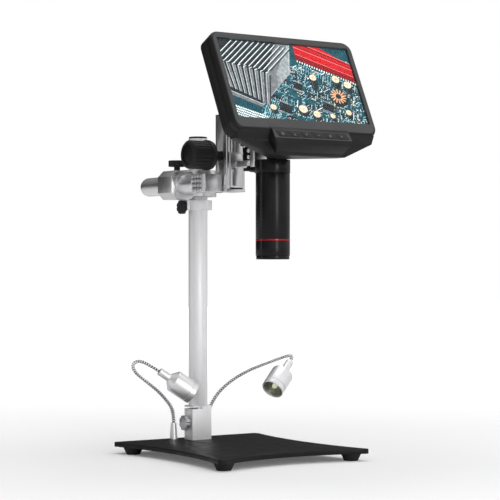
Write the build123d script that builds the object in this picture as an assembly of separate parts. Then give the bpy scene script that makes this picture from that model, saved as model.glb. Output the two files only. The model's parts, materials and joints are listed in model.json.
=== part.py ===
from build123d import *
import math
import os

# LCD digital microscope on a column stand, in millimetres.
# Origin: centre of the base plate's top face. X to the right, Y to the back, Z up.

# --- driving dimensions -------------------------------------------------------
# base plate and feet
base_width = 183.0
base_depth = 209.0
base_thickness = 4.5
front_hollow = 20.0
side_hollow = 13.5
corner_radius = 5.0
foot_height = 7.5
foot_top_radius = 10.5
foot_tip_radius = 7.0
foot_inset_x = 15.5
foot_inset_y = 18.5
screw_radius = 2.0
screw_head_radius = 3.6
screw_head_height = 2.0
# column and its foot block
column_radius = 10.0
column_wall = 2.0
column_length = 282.0
column_inset = 23.5
cap_height = 1.8
block_width = 24.0
block_depth = 17.0
block_height = 36.0
seat_depth = 0.5
seat_gap = 0.1
block_slit = 1.6
block_slit_drop = 3.5
stud_radius = 6.0
stud_depth = 20.0
plug_length = 16.0
# fits
slip = 0.05
gap = 0.3
# hand knobs
knob_radius = 9.0
knob_thickness = 6.3
small_knob_radius = 7.9
small_knob_thickness = 4.5
collar_knob_radius = 7.4
knob_stem_radius = 3.2
knob_screw_radius = 2.2
knob_lobes = 8
knob_groove_radius = 1.3
# safety collar and cross clamp
collar_radius = 14.8
collar_height = 10.2
collar_rise = 206.5
boss_radius = 19.5
boss_height = 27.5
clamp_size = 30.0
clamp_length = 28.0
clamp_offset = 26.0
clamp_corner = 6.5
knob_gap = 4.2
# horizontal arm rod
rod_radius = 10.0
rod_tail = 66.0
rod_reach = 43.7
spigot_radius = 6.0
spigot_length = 15.0
# rail bracket and focus rail
bracket_depth = 21.6
bracket_height = 18.0
bracket_overlap = 9.0
bracket_chamfer = 2.4
rail_width = 22.8
rail_depth = 21.0
rail_height = 77.0
rail_lead = 6.9
rail_wall = 3.5
flange_left = 4.0
flange_right = 3.0
end_plate = 2.8
pinion_rise = 34.2
pinion_module = 1.0
pinion_teeth = 11
pinion_width = 8.0
shaft_radius = 2.5
bush_radius = 5.0
hub_radius = 4.8
hub_end = 24.5
focus_knob_radius = 14.5
focus_knob_end = 52.0
focus_flange = 6.0
focus_flutes = 24
# sliding rack, carriage and barrel holder
slide_length = 68.0
slide_stop = 1.5
slide_thickness = 4.1
slide_groove = 4.4
carriage_rise = 21.8
carriage_height = 15.8
carriage_width = 21.4
carriage_thickness = 4.9
arm_width = 9.0
arm_thickness = 5.5
arm_reach = 27.3
holder_width = 12.0
holder_depth = 15.0
holder_height = 13.0
plate_width = 15.0
plate_height = 18.0
plate_depth = 8.2
ring_drop = 7.7
ring_wall = 3.0
ring_height = 13.2
# lens barrel
barrel_radius = 17.0
barrel_wall = 2.5
barrel_length = 81.3
nose_height = 3.7
red_ring_rise = 14.8
red_ring_height = 1.4
lens_radius = 11.0
lens_cell_length = 22.0
sensor_size = 19.0
board_thickness = 1.6
# tilt hinge between the barrel and the head
pin_setback = 10.0
pin_rise = 8.8
pin_radius = 2.0
lug_width = 14.0
lug_radius = 7.0
knuckle_width = 4.5
# display head
screen_width = 154.2
screen_height = 85.9
screen_lean = 26.0
screen_lead = 27.2
screen_rise = 73.9
side_bezel = 7.9
top_bezel = 9.05
bottom_bezel = 14.05
head_depth = 20.0
head_corner = 11.0
split_depth = 8.5
shell_wall = 2.2
glass_thickness = 1.2
panel_thickness = 4.0
chin_margin = 41.0
cheek_margin = 6.0
lip_taper = 7.0
rim_round = 3.6
# chin, front lip and hinge hump of the head: rises above the head's underside (or the pin), leads
# ahead of the screen's line, and backs behind the pin
chin_middle = 14.3
chin_high = 23.0
chin_lead = 22.8
chin_depth = 17.0
chin_shoulder = 14.0
lip_side = 1.5
lip_top = 30.0
lip_root = 17.0
shelf_top = 23.5
shelf_lead = 27.6
lip_lead = 32.4
shelf_low = 15.5
lip_edge = 10.0
lip_heel = 5.0
hump_lead = 34.0
hump_foot = 3.0
hump_back = 8.0
hump_step = 9.0
hump_shoulder = 58.0
hump_shoulder_lead = 4.0
hump_ridge_lead = 20.0
hump_top = 62.0
button_skew = 1.6
board_margin = 16.0
board_lift = 4.0
jack_width = 12.0
jack_length = 10.0
jack_height = 6.6
jack_drop = 30.0
jack_depth = 14.2
jack_bore = 2.8
jack_bore_length = 8.0
button_count = 6
button_pitch = 14.0
button_width = 12.8
button_height = 6.4
button_travel = 0.8
# lamps
lamp_offset_x = 21.0
lamp_offset_y = 15.0
socket_radius = 4.2
socket_tip_radius = 3.0
socket_height = 17.0
gooseneck_radius = 2.3
lamp_radius = 11.8
lamp_length = 25.0
lamp_shoulder = 5.0
lamp_neck_radius = 4.2
lamp_neck_length = 13.0
socket_run = 7.0
lamp_run = 8.0
# bends of the two lamp arms between those straight ends, then where each lamp's neck starts
left_bends = [(-25, 93.5, 34), (-33.5, 93.5, 44), (-43.5, 95.5, 54), (-56, 99.5, 64),
              (-66, 101.5, 72.5), (-70.3, 98.5, 81), (-67, 89, 85.3)]
right_bends = [(22, 88, 37.5), (26.5, 80, 50), (36, 70, 62), (50, 57, 73), (66, 43.5, 81),
               (83.8, 31.6, 88.9)]
left_start = (-52.3, 73.4, 73.8)
right_start = (78.1, 23, 82)
left_aim = (0.78, -0.29, -0.555)
right_aim = (-0.72, -0.28, -0.64)

# --- places worked out from them ----------------------------------------------
floor_z = -base_thickness - foot_height
column_y = base_depth / 2 - column_inset
column_top = block_height + column_length
collar_z = block_height + collar_rise
collar_top = collar_z + collar_height
clamp_bottom = collar_top + gap
rod_z = clamp_bottom + clamp_size / 2
boss_bottom = clamp_bottom + 3.5
rod_x = -clamp_offset
rod_front = column_y - rod_reach
bracket_back = rod_front - gap
bracket_front = bracket_back - bracket_depth
bracket_bottom = rod_z - bracket_height / 2
rail_front_y = bracket_front - rail_lead
rail_back_y = rail_front_y + rail_depth
rail_bottom = bracket_bottom + end_plate
pinion_z = rail_bottom + pinion_rise
carriage_z = rail_bottom + carriage_rise
rail_top = rail_bottom + rail_height
channel_left = -rail_width / 2 + flange_left
channel_right = rail_width / 2 - flange_right
pinion_radius = pinion_module * pinion_teeth / 2
pinion_y = rail_back_y - rail_wall - pinion_radius - pinion_module - 0.5
slide_front = rail_front_y - gap
slide_left = channel_left + 0.2
slide_right = channel_right - 0.2
slide_bottom = rail_bottom + slide_stop
rack_y = pinion_y - pinion_radius
carriage_front = slide_front - carriage_thickness
arm_end = carriage_front - arm_reach
arm_top = carriage_z + 0.4 + arm_thickness
holder_back = arm_end + 10.5
holder_front = holder_back - holder_depth
plate_back = holder_front
plate_front = plate_back - plate_depth
plate_bottom = arm_top + holder_height - 2 - plate_height
ring_radius = barrel_radius + gap
ring_bottom = plate_bottom - ring_drop
barrel_y = plate_front - ring_radius - 4.0
neck_radius = ring_radius - ring_wall
barrel_top = ring_bottom - gap
barrel_bottom = barrel_top - barrel_length
red_ring_z = barrel_bottom + red_ring_rise
neck_top = ring_bottom + ring_height + 0.2
head_under = neck_top + 0.5
pin_y = barrel_y - pin_setback
pin_z = neck_top + pin_rise
knuckle_radius = pin_z - head_under
screen_y = pin_y - screen_lead
screen_z = head_under + screen_rise
head_half_width = screen_width / 2 + side_bezel
head_top = screen_height / 2 + top_bezel
head_bottom = screen_height / 2 + bottom_bezel
chin_half_width = head_half_width - chin_margin
cheek_half_width = head_half_width - cheek_margin
hump_half_width = chin_half_width - 4
screen = Location((0, screen_y, screen_z), (90 - screen_lean, 0, 0))
nodes = {}


# --- small helpers --------------------------------------------------------------
def box(x0, x1, y0, y1, z0, z1):
    return Pos((x0 + x1) / 2, (y0 + y1) / 2, (z0 + z1) / 2) * Box(x1 - x0, y1 - y0, z1 - z0)


def bar(radius, start, end):
    """A round bar from one point to another."""
    line = Vector(*end) - Vector(*start)
    return extrude(Plane(Vector(*start), z_dir=line) * Circle(radius), line.length)


def prism(points, plane, length):
    """A polygon on a plane, thickened both ways to the given length."""
    return extrude(plane * make_face(Polyline(*points, close=True)), length / 2, both=True)


def knob(radius, thickness, screw_end, stem):
    """A lobed hand knob on +Z: its screw runs from screw_end up to the grip at stem."""
    grip = Pos(0, 0, stem) * extrude(Circle(radius), thickness)
    for angle in range(knob_lobes):
        groove = Rot(0, 0, angle * 360 / knob_lobes) * Pos(radius + 0.5, 0, stem)
        grip -= groove * extrude(Circle(knob_groove_radius), thickness)
    neck = extrude(Circle(knob_stem_radius), stem)
    screw = Pos(0, 0, screw_end) * extrude(Circle(knob_screw_radius), -screw_end)
    return grip + neck + screw


def countersunk(x, y, z, length):
    """A countersunk screw with its head flush at z and its shank going up."""
    head = Pos(x, y, z) * extrude(Circle(screw_head_radius), screw_head_height)
    return head + Pos(x, y, z) * extrude(Circle(screw_radius), length)


# --- stand ---------------------------------------------------------------------
def base_outline():
    half_x = base_width / 2
    half_y = base_depth / 2
    front = ThreePointArc((-half_x, -half_y), (0, -half_y + front_hollow), (half_x, -half_y))
    right = ThreePointArc((half_x, -half_y), (half_x - side_hollow, 0), (half_x, half_y))
    back = Line((half_x, half_y), (-half_x, half_y))
    left = ThreePointArc((-half_x, half_y), (-half_x + side_hollow, 0), (-half_x, -half_y))
    face = make_face([front, right, back, left])
    return fillet(face.vertices(), corner_radius)


def stand():
    plate = Pos(0, 0, -base_thickness) * extrude(base_outline(), base_thickness)
    foot_x = base_width / 2 - foot_inset_x
    foot_y = base_depth / 2 - foot_inset_y
    feet = []
    screws = []
    for side in (-1, 1):
        for end in (-1, 1):
            place = Pos(side * foot_x, end * foot_y, floor_z)
            foot = place * Pos(0, 0, foot_height / 2) * Cone(foot_tip_radius, foot_top_radius, foot_height)
            hole = place * extrude(Circle(screw_head_radius + 0.1), screw_head_height + 1)
            shank = bar(screw_radius + slip, (side * foot_x, end * foot_y, floor_z),
                        (side * foot_x, end * foot_y, -base_thickness / 3))
            feet.append(foot - hole - shank)
            plate -= shank
            screws.append(countersunk(side * foot_x, end * foot_y, floor_z + 1,
                                      foot_height + base_thickness / 2 - 1))
    half_x = block_width / 2
    half_y = block_depth / 2
    plate -= box(-half_x - seat_gap, half_x + seat_gap, column_y - half_y - seat_gap,
                 column_y + half_y + seat_gap, -seat_depth, 0)
    block = box(-half_x, half_x, column_y - half_y, column_y + half_y, -seat_depth, block_height)
    block = chamfer(block.edges().filter_by(Axis.Z), 0.8)
    block -= bar(stud_radius + slip, (0, column_y, block_height - stud_depth), (0, column_y, block_height))
    slit_z = block_height - block_slit_drop
    block -= box(-block_width, 0, 0, base_depth, slit_z, slit_z + block_slit)
    knob_z = block_height / 2
    block -= bar(knob_screw_radius + slip, (-block_width, column_y, knob_z), (0, column_y, knob_z))
    for side in (-1, 1):
        x = side * block_width / 4
        hole = bar(screw_radius + slip, (x, column_y, -base_thickness), (x, column_y, block_height / 4))
        head = bar(screw_head_radius + slip, (x, column_y, -base_thickness),
                   (x, column_y, -base_thickness + screw_head_height))
        block -= hole
        plate -= hole + head
        screws.append(countersunk(x, column_y, -base_thickness, base_thickness + block_height / 4 - 1))
    tube = bar(column_radius, (0, column_y, block_height), (0, column_y, column_top))
    tube -= bar(column_radius - column_wall, (0, column_y, 0), (0, column_y, column_top))
    stud = bar(stud_radius, (0, column_y, block_height - stud_depth + gap), (0, column_y, block_height))
    stud += bar(column_radius - column_wall - slip, (0, column_y, block_height),
                (0, column_y, block_height + plug_length))
    cap = bar(column_radius - 0.4, (0, column_y, column_top), (0, column_y, column_top + cap_height))
    cap += bar(column_radius - column_wall - slip, (0, column_y, column_top - 5), (0, column_y, column_top))
    sockets = []
    for side in (-1, 1):
        place = Pos(side * lamp_offset_x, column_y + lamp_offset_y, 0)
        sleeve = place * Pos(0, 0, socket_height / 2) * Cone(socket_radius, socket_tip_radius, socket_height)
        plate -= place * Pos(0, 0, -seat_depth) * extrude(Circle(socket_radius + seat_gap), seat_depth)
        sockets.append(sleeve + place * Pos(0, 0, -seat_depth) * extrude(Circle(socket_radius), seat_depth))
    nodes["base_plate"] = plate
    nodes["rubber_feet"] = Compound(feet)
    nodes["base_screws"] = Compound(screws)
    nodes["column_block"] = block
    nodes["column_stud"] = stud
    nodes["column_tube"] = tube
    nodes["column_cap"] = cap
    nodes["lamp_sockets"] = Compound(sockets)
    turned = Rot(0, -90, 0) * knob(small_knob_radius, small_knob_thickness,
                                   stud_radius + gap - block_width / 2 + slip, 1.8)
    nodes["block_knob"] = Pos(-block_width / 2 - gap, column_y, knob_z) * turned


# --- collar and cross clamp on the column -------------------------------------
def collar():
    middle = clamp_bottom - gap - collar_knob_radius
    lug_end = collar_radius + 2.0
    body = bar(collar_radius, (0, column_y, collar_z), (0, column_y, collar_top))
    body += box(-lug_end, 0, column_y - 5.5, column_y + 5.5, collar_z, collar_top)
    body -= bar(column_radius + slip, (0, column_y, collar_z), (0, column_y, collar_top))
    body -= bar(knob_screw_radius + slip, (-lug_end - 1, column_y, middle), (0, column_y, middle))
    nodes["safety_collar"] = body
    reach = lug_end + gap - column_radius - gap
    turned = Rot(0, -90, 0) * knob(collar_knob_radius, small_knob_thickness, -reach, 0.6)
    nodes["collar_knob"] = Pos(-lug_end - gap, column_y, middle) * turned


def cross_clamp():
    half = clamp_size / 2
    cut = clamp_corner
    eight = [(half, -half + cut), (half, half - cut), (half - cut, half), (-half + cut, half),
             (-half, half - cut), (-half, -half + cut), (-half + cut, -half), (half - cut, -half)]
    outline = [(rod_x + x, rod_z + z) for x, z in eight]
    body = prism(outline, Plane(origin=(0, column_y, 0), x_dir=(1, 0, 0), z_dir=(0, -1, 0)), clamp_length)
    body += bar(boss_radius, (0, column_y, boss_bottom), (0, column_y, boss_bottom + boss_height))
    body -= bar(column_radius + slip, (0, column_y, clamp_bottom - 1), (0, column_y, column_top))
    front = column_y - clamp_length
    body -= bar(rod_radius + slip, (rod_x, front, rod_z), (rod_x, column_y + clamp_length, rod_z))
    body -= bar(knob_screw_radius + slip, (rod_x, column_y, rod_z), (rod_x, column_y, rod_z + clamp_size))
    knob_z = boss_bottom + boss_height / 2
    body -= bar(knob_screw_radius + slip, (0, column_y, knob_z), (clamp_size, column_y, knob_z))
    nodes["cross_clamp"] = body
    top = knob(knob_radius, knob_thickness, rod_radius + gap - half, knob_gap)
    nodes["rod_knob"] = Pos(rod_x, column_y, rod_z + half + gap) * top
    side = Rot(0, 90, 0) * knob(knob_radius, knob_thickness, column_radius + gap - boss_radius, knob_gap)
    nodes["column_knob"] = Pos(boss_radius + gap, column_y, knob_z) * side


def arm_rod():
    back = column_y + rod_tail
    rod = bar(rod_radius, (rod_x, rod_front, rod_z), (rod_x, back - rod_radius, rod_z))
    rod += Pos(rod_x, back - rod_radius, rod_z) * Sphere(rod_radius)
    rod += bar(spigot_radius, (rod_x, rod_front - spigot_length, rod_z), (rod_x, rod_front, rod_z))
    nodes["arm_rod"] = rod


# --- focus rail ----------------------------------------------------------------
def focus_rail():
    side = -rail_width / 2
    left = rod_x - bracket_overlap
    block = box(left, side, bracket_front, bracket_back, bracket_bottom, bracket_bottom + bracket_height)
    edges = block.edges().filter_by(Axis.Z).sort_by(Axis.X)[:2].sort_by(Axis.Y)
    block = chamfer(edges[0], bracket_chamfer)
    block -= box(side - 1.3, side, bracket_front, bracket_front + 4, bracket_bottom, rod_z + bracket_height)
    hole_end = rod_front - spigot_length - gap
    block -= bar(spigot_radius + slip, (rod_x, hole_end, rod_z), (rod_x, bracket_back, rod_z))
    rail = box(side, -side, rail_front_y, rail_back_y, rail_bottom, rail_top)
    rail = chamfer(rail.edges().filter_by(Axis.Z), 0.6)
    rail -= box(channel_left, channel_right, rail_front_y, rail_back_y - rail_wall, rail_bottom, rail_top)
    rib_y = rail_front_y + 2.6
    rail -= box(channel_left - 1.2, channel_right + 1.2, rib_y, rib_y + 1.8, rail_bottom, rail_top)
    rail -= bar(bush_radius, (side - 1, pinion_y, pinion_z), (-side + 1, pinion_y, pinion_z))
    bushes = []
    for x0, x1 in ((side, channel_left), (channel_right, -side)):
        bush = bar(bush_radius, (x0, pinion_y, pinion_z), (x1, pinion_y, pinion_z))
        bushes.append(bush - bar(shaft_radius + slip, (x0, pinion_y, pinion_z), (x1, pinion_y, pinion_z)))
    plate = box(side, -side, rail_front_y - 0.6, rail_back_y, bracket_bottom, rail_bottom)
    screws = []
    screw_y = rail_back_y - rail_wall - screw_head_radius
    for z in (bracket_bottom + 6, bracket_bottom + 12.5):
        screw = bar(screw_radius, (channel_left, screw_y, z), (side - 3, screw_y, z))
        screw += bar(screw_head_radius - 0.8, (channel_left, screw_y, z), (channel_left + 2, screw_y, z))
        screws.append(screw)
        hole = bar(screw_radius, (channel_left, screw_y, z), (side - 3, screw_y, z))
        block -= hole
        rail -= hole
    nodes["rail_bracket"] = block
    nodes["bracket_screws"] = Compound(screws)
    nodes["focus_rail"] = rail
    nodes["rail_end_plate"] = plate
    nodes["shaft_bushes"] = Compound(bushes)


def pinion():
    """Eleven-tooth pinion: straight-flanked teeth that narrow to the tip."""
    root = pinion_radius - 1.15 * pinion_module
    tip = pinion_radius + 0.65 * pinion_module
    wheel = Circle(root)
    for tooth in range(pinion_teeth):
        half_root = 0.88 * pinion_module
        half_pitch = 0.58 * pinion_module
        half_tip = 0.2 * pinion_module
        points = [(root - 0.4, half_root), (root, half_root), (pinion_radius, half_pitch), (tip, half_tip),
                  (tip, -half_tip), (pinion_radius, -half_pitch), (root, -half_root), (root - 0.4, -half_root)]
        shape = make_face(Polyline(*points, close=True))
        wheel += Rot(0, 0, (tooth + 0.5) * 360 / pinion_teeth) * shape
    wheel -= Circle(shaft_radius)
    solid = extrude(wheel, pinion_width / 2, both=True)
    return Pos(0, pinion_y, pinion_z) * Rot(0, 90, 0) * Rot(0, 0, -90) * solid


def focus_drive():
    nodes["pinion"] = pinion()
    shaft = bar(shaft_radius, (-focus_knob_end + 4, pinion_y, pinion_z), (focus_knob_end - 4, pinion_y, pinion_z))
    knobs = []
    caps = []
    for side in (-1, 1):
        inner = side * hub_end
        outer = side * focus_knob_end
        body = bar(focus_knob_radius, (inner, pinion_y, pinion_z), (outer, pinion_y, pinion_z))
        body = chamfer(body.edges().group_by(Axis.X)[0 if side < 0 else -1], 2.0)
        flange = bar(focus_knob_radius + 1, (inner, pinion_y, pinion_z),
                     (inner + side * focus_flange, pinion_y, pinion_z))
        flange = chamfer(flange.edges().group_by(Axis.X)[-1 if side < 0 else 0], 2.6)
        for flute in range(focus_flutes):
            turn = math.radians(flute * 360 / focus_flutes)
            y = pinion_y + (focus_knob_radius + 0.35) * math.cos(turn)
            z = pinion_z + (focus_knob_radius + 0.35) * math.sin(turn)
            body -= bar(0.9, (inner + side * focus_flange, y, z), (outer - side * 3, y, z))
        hub = bar(hub_radius, (side * (rail_width / 2 + gap), pinion_y, pinion_z), (inner, pinion_y, pinion_z))
        recess = bar(focus_knob_radius - 4, (outer - side * 2.5, pinion_y, pinion_z), (outer, pinion_y, pinion_z))
        bore = bar(shaft_radius, (0, pinion_y, pinion_z), (outer - side * 4, pinion_y, pinion_z))
        knobs.append(body + flange + hub - recess - bore)
        cap_end = outer - side * 1.2
        caps.append(bar(focus_knob_radius - 4 - slip, (outer - side * 2.5, pinion_y, pinion_z),
                        (cap_end, pinion_y, pinion_z)))
    nodes["pinion_shaft"] = shaft
    nodes["focus_knobs"] = Compound(knobs)
    nodes["focus_knob_caps"] = Compound(caps)


def rack_slide():
    top = slide_bottom + slide_length
    body = box(slide_left, slide_right, slide_front, slide_front + slide_thickness, slide_bottom, top)
    rib_y = rail_front_y + 2.6 + 0.2
    body += box(slide_left - 1.0, slide_right + 1.0, rib_y, rib_y + 1.4, slide_bottom, top)
    groove_left = slide_left + 2.2
    body -= box(groove_left, groove_left + slide_groove, slide_front, slide_front + 1.8, slide_bottom + 2, top)
    pitch = math.pi * pinion_module
    root_y = rack_y - 1.15 * pinion_module
    tip_y = rack_y + 0.8 * pinion_module
    back = slide_front + slide_thickness
    half = pinion_width / 2 + 0.3
    body += box(-half, half, back, root_y, slide_bottom, top)
    plane = Plane(origin=(0, 0, 0), x_dir=(0, 1, 0), z_dir=(1, 0, 0))
    first = math.ceil((slide_bottom + 2 - pinion_z) / pitch)
    last = math.floor((top - 2 - pinion_z) / pitch)
    for tooth in range(first, last + 1):
        z = pinion_z + tooth * pitch
        points = [(root_y - 0.2, z - 1.0), (tip_y, z - 0.3), (tip_y, z + 0.3), (root_y - 0.2, z + 1.0)]
        body += prism([(y, h) for y, h in points], plane, 2 * half)
    nodes["rack_slide"] = body


def carriage():
    half = carriage_width / 2
    body = box(-half, half, carriage_front, slide_front, carriage_z, carriage_z + carriage_height)
    body = chamfer(body.edges().filter_by(Axis.Z), 0.6)
    body += box(-arm_width / 2, arm_width / 2, arm_end, carriage_front, arm_top - arm_thickness, arm_top)
    block = box(-holder_width / 2, holder_width / 2, holder_front, holder_back, arm_top, arm_top + holder_height)
    plate = box(-plate_width / 2, plate_width / 2, plate_front, plate_back, plate_bottom,
                plate_bottom + plate_height)
    ring_top = ring_bottom + ring_height
    ring = bar(ring_radius, (0, barrel_y, ring_bottom), (0, barrel_y, ring_top))
    ring += box(-plate_width / 2, plate_width / 2, barrel_y, plate_front, ring_bottom + 1, ring_top)
    ring -= bar(neck_radius + slip, (0, barrel_y, ring_bottom), (0, barrel_y, ring_top))
    knob_y = (holder_back + arm_end) / 2 + 1.5
    hole_top = arm_top + holder_height / 2
    hole = bar(knob_screw_radius + slip, (0, knob_y, carriage_z), (0, knob_y, hole_top))
    body -= hole
    block -= hole
    screws = []
    for z in (arm_top + 3.0, arm_top + 9.5):
        y = holder_front + 4.0
        hole = bar(screw_radius, (-holder_width / 2, y, z), (-holder_width / 2 + 5, y, z))
        block -= hole
        head = bar(screw_radius, (-holder_width / 2, y, z), (-holder_width / 2 - 1.2, y, z))
        screws.append(hole + head)
    screws.extend(carriage_bolts())
    for bolt in carriage_bolts():
        body -= bolt
    nodes["carriage"] = body
    nodes["holder_block"] = block
    nodes["holder_plate"] = plate
    nodes["holder_ring"] = ring
    nodes["holder_screws"] = Compound(screws)
    reach = hole_top - gap - (arm_top - arm_thickness - gap)
    thumb = Rot(180, 0, 0) * knob(small_knob_radius - 1.4, small_knob_thickness - 1.5, -reach, 1.6)
    nodes["holder_knob"] = Pos(0, knob_y, arm_top - arm_thickness - gap) * thumb


def carriage_bolts():
    x = carriage_width / 2 - 5.2
    bolts = []
    for z in (carriage_z + 4, carriage_z + carriage_height - 4):
        bolts.append(bar(1.5, (x, carriage_front, z), (x, slide_front, z)))
    return bolts


# --- barrel --------------------------------------------------------------------
def barrel():
    def ring(outer, inner, low, high):
        return bar(outer, (0, barrel_y, low), (0, barrel_y, high)) - bar(inner, (0, barrel_y, low),
                                                                       (0, barrel_y, high))
    inner = barrel_radius - barrel_wall
    neck_inner = neck_radius - barrel_wall
    tube = ring(barrel_radius, inner, barrel_bottom, barrel_top - 3)
    tube += ring(barrel_radius, neck_inner, barrel_top - 3, barrel_top)
    tube += ring(neck_radius, neck_inner, barrel_top, neck_top)
    groove = ring(barrel_radius + 1, barrel_radius - 0.8, red_ring_z, red_ring_z + red_ring_height)
    tube -= groove
    nodes["barrel_tube"] = tube
    nodes["red_ring"] = ring(barrel_radius + 0.1, barrel_radius - 0.8, red_ring_z, red_ring_z + red_ring_height)
    nodes["barrel_nose"] = ring(barrel_radius - 0.5, lens_radius + 1, barrel_bottom - nose_height, barrel_bottom)
    nodes["objective_lens"] = bar(lens_radius, (0, barrel_y, barrel_bottom - 1), (0, barrel_y, barrel_bottom + 4))
    cell = ring(inner - slip, lens_radius + slip, barrel_bottom, barrel_bottom + lens_cell_length)
    nodes["lens_cell"] = cell
    board_z = barrel_top - 8 + board_thickness / 2
    nodes["sensor_board"] = Pos(0, barrel_y, board_z) * Box(sensor_size, sensor_size, board_thickness)
    lug = bar(neck_inner - slip, (0, barrel_y, neck_top - 5), (0, barrel_y, neck_top))
    half = lug_width / 2
    lug += box(-half, half, pin_y - lug_radius, barrel_y + 2, neck_top - 5, neck_top)
    tower = box(-half, half, pin_y - lug_radius, pin_y + lug_radius, neck_top, pin_z)
    tower += bar(lug_radius, (-half, pin_y, pin_z), (half, pin_y, pin_z))
    limit = bar(barrel_radius, (0, barrel_y, neck_top), (0, barrel_y, pin_z + lug_radius))
    shelf = bar(neck_radius - slip, (0, barrel_y, neck_top - 5), (0, barrel_y, neck_top))
    lug = (lug & shelf) + (tower & limit)
    lug -= bar(pin_radius + slip, (-half, pin_y, pin_z), (half, pin_y, pin_z))
    nodes["tilt_lug"] = lug + bar(neck_inner - slip, (0, barrel_y, neck_top - 5), (0, barrel_y, neck_top))
    nodes["barrel_tube"] -= nodes["tilt_lug"]


# --- display head --------------------------------------------------------------
def slab(inset, low, high):
    """The head's flat body between two depths behind its face, drawn in by an inset."""
    height = head_top + head_bottom - 2 * inset
    middle = (head_top - head_bottom) / 2
    sketch = Pos(0, middle) * RectangleRounded(2 * (head_half_width - inset), height, head_corner - inset)
    return Pos(0, 0, low) * extrude(sketch, high - low)


def chin(inset):
    """The wedge under the screen: narrow below, spreading to the head's lower corners."""
    low = head_under + inset
    middle = head_under + chin_middle
    high = head_under + chin_high - inset
    front = screen_y - chin_lead + inset
    back = front + chin_depth - 2 * inset
    waist = lug_width / 2 + gap + knuckle_width - inset
    shoulder = front + chin_shoulder - 2 * inset
    lower = [(-chin_half_width + inset, front), (chin_half_width - inset, front),
             (chin_half_width - inset, shoulder), (waist, pin_y + inset), (-waist, pin_y + inset),
             (-chin_half_width + inset, shoulder)]
    wide = cheek_half_width - inset
    tail = pin_y + hump_back - inset
    sections = [Pos(0, 0, low) * make_face(Polyline(*lower, close=True))]
    for z, start in ((middle, front + 2.5), (high, front - 1.5)):
        spread = [(-wide, start), (wide, start), (wide, back), (waist + 6, tail),
                  (-waist - 6, tail), (-wide, back)]
        sections.append(Pos(0, 0, z) * make_face(Polyline(*spread, close=True)))
    return loft(sections, ruled=True)


def side_prism(points, half_width):
    """A side outline of (y, z) points, carried across to both sides."""
    return prism(points, Plane(origin=(0, 0, 0), x_dir=(0, 1, 0), z_dir=(1, 0, 0)), 2 * half_width)


def chin_front(inset):
    """The forward lip under the screen, with the button shelf on it; its ends draw in downward."""
    y = screen_y
    z = head_under
    edge = y - lip_lead + inset
    points = [(y - lip_root, z + lip_top), (y - shelf_lead + inset, z + shelf_top - inset),
              (edge, z + shelf_low), (edge, z + lip_edge), (y - chin_lead + inset, z + inset),
              (y - lip_heel, z + inset)]
    wide = chin_half_width + lip_side - inset
    narrow = wide - lip_taper
    ends = [(-wide, z + lip_top), (-wide, z + shelf_low), (-narrow, z), (narrow, z),
            (wide, z + shelf_low), (wide, z + lip_top)]
    trim = prism(ends, Plane(origin=(0, y, 0), x_dir=(1, 0, 0), z_dir=(0, -1, 0)), 2 * head_half_width)
    return side_prism(points, wide) & trim


def back_hump(inset):
    """The hump behind the screen that carries the tilt hinge."""
    y = pin_y
    z = pin_z
    back = y + hump_back - inset
    points = [(y - hump_lead, z + hump_foot), (back, z + hump_foot), (back, z + hump_step),
              (y - hump_shoulder_lead - inset, z + hump_shoulder - inset), (y - hump_ridge_lead, z + hump_top)]
    return side_prism(points, hump_half_width - inset)


def button_place(index):
    """Centre of one button on the shelf, facing outward."""
    slope = math.degrees(math.atan2(shelf_top - shelf_low, lip_lead - shelf_lead))
    x = (index - (button_count - 1) / 2) * button_pitch
    middle = (screen_y - (shelf_lead + lip_lead) / 2, head_under + (shelf_top + shelf_low) / 2)
    return Location((x, *middle), (slope, 0, 0))


def button_shape(grow):
    half_x = button_width / 2 + grow
    half_y = button_height / 2 + grow
    skew = button_skew
    points = [(-half_x - skew, half_y), (half_x - skew, half_y), (half_x + skew, -half_y),
              (-half_x + skew, -half_y)]
    return make_face(Polyline(*points, close=True))


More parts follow.
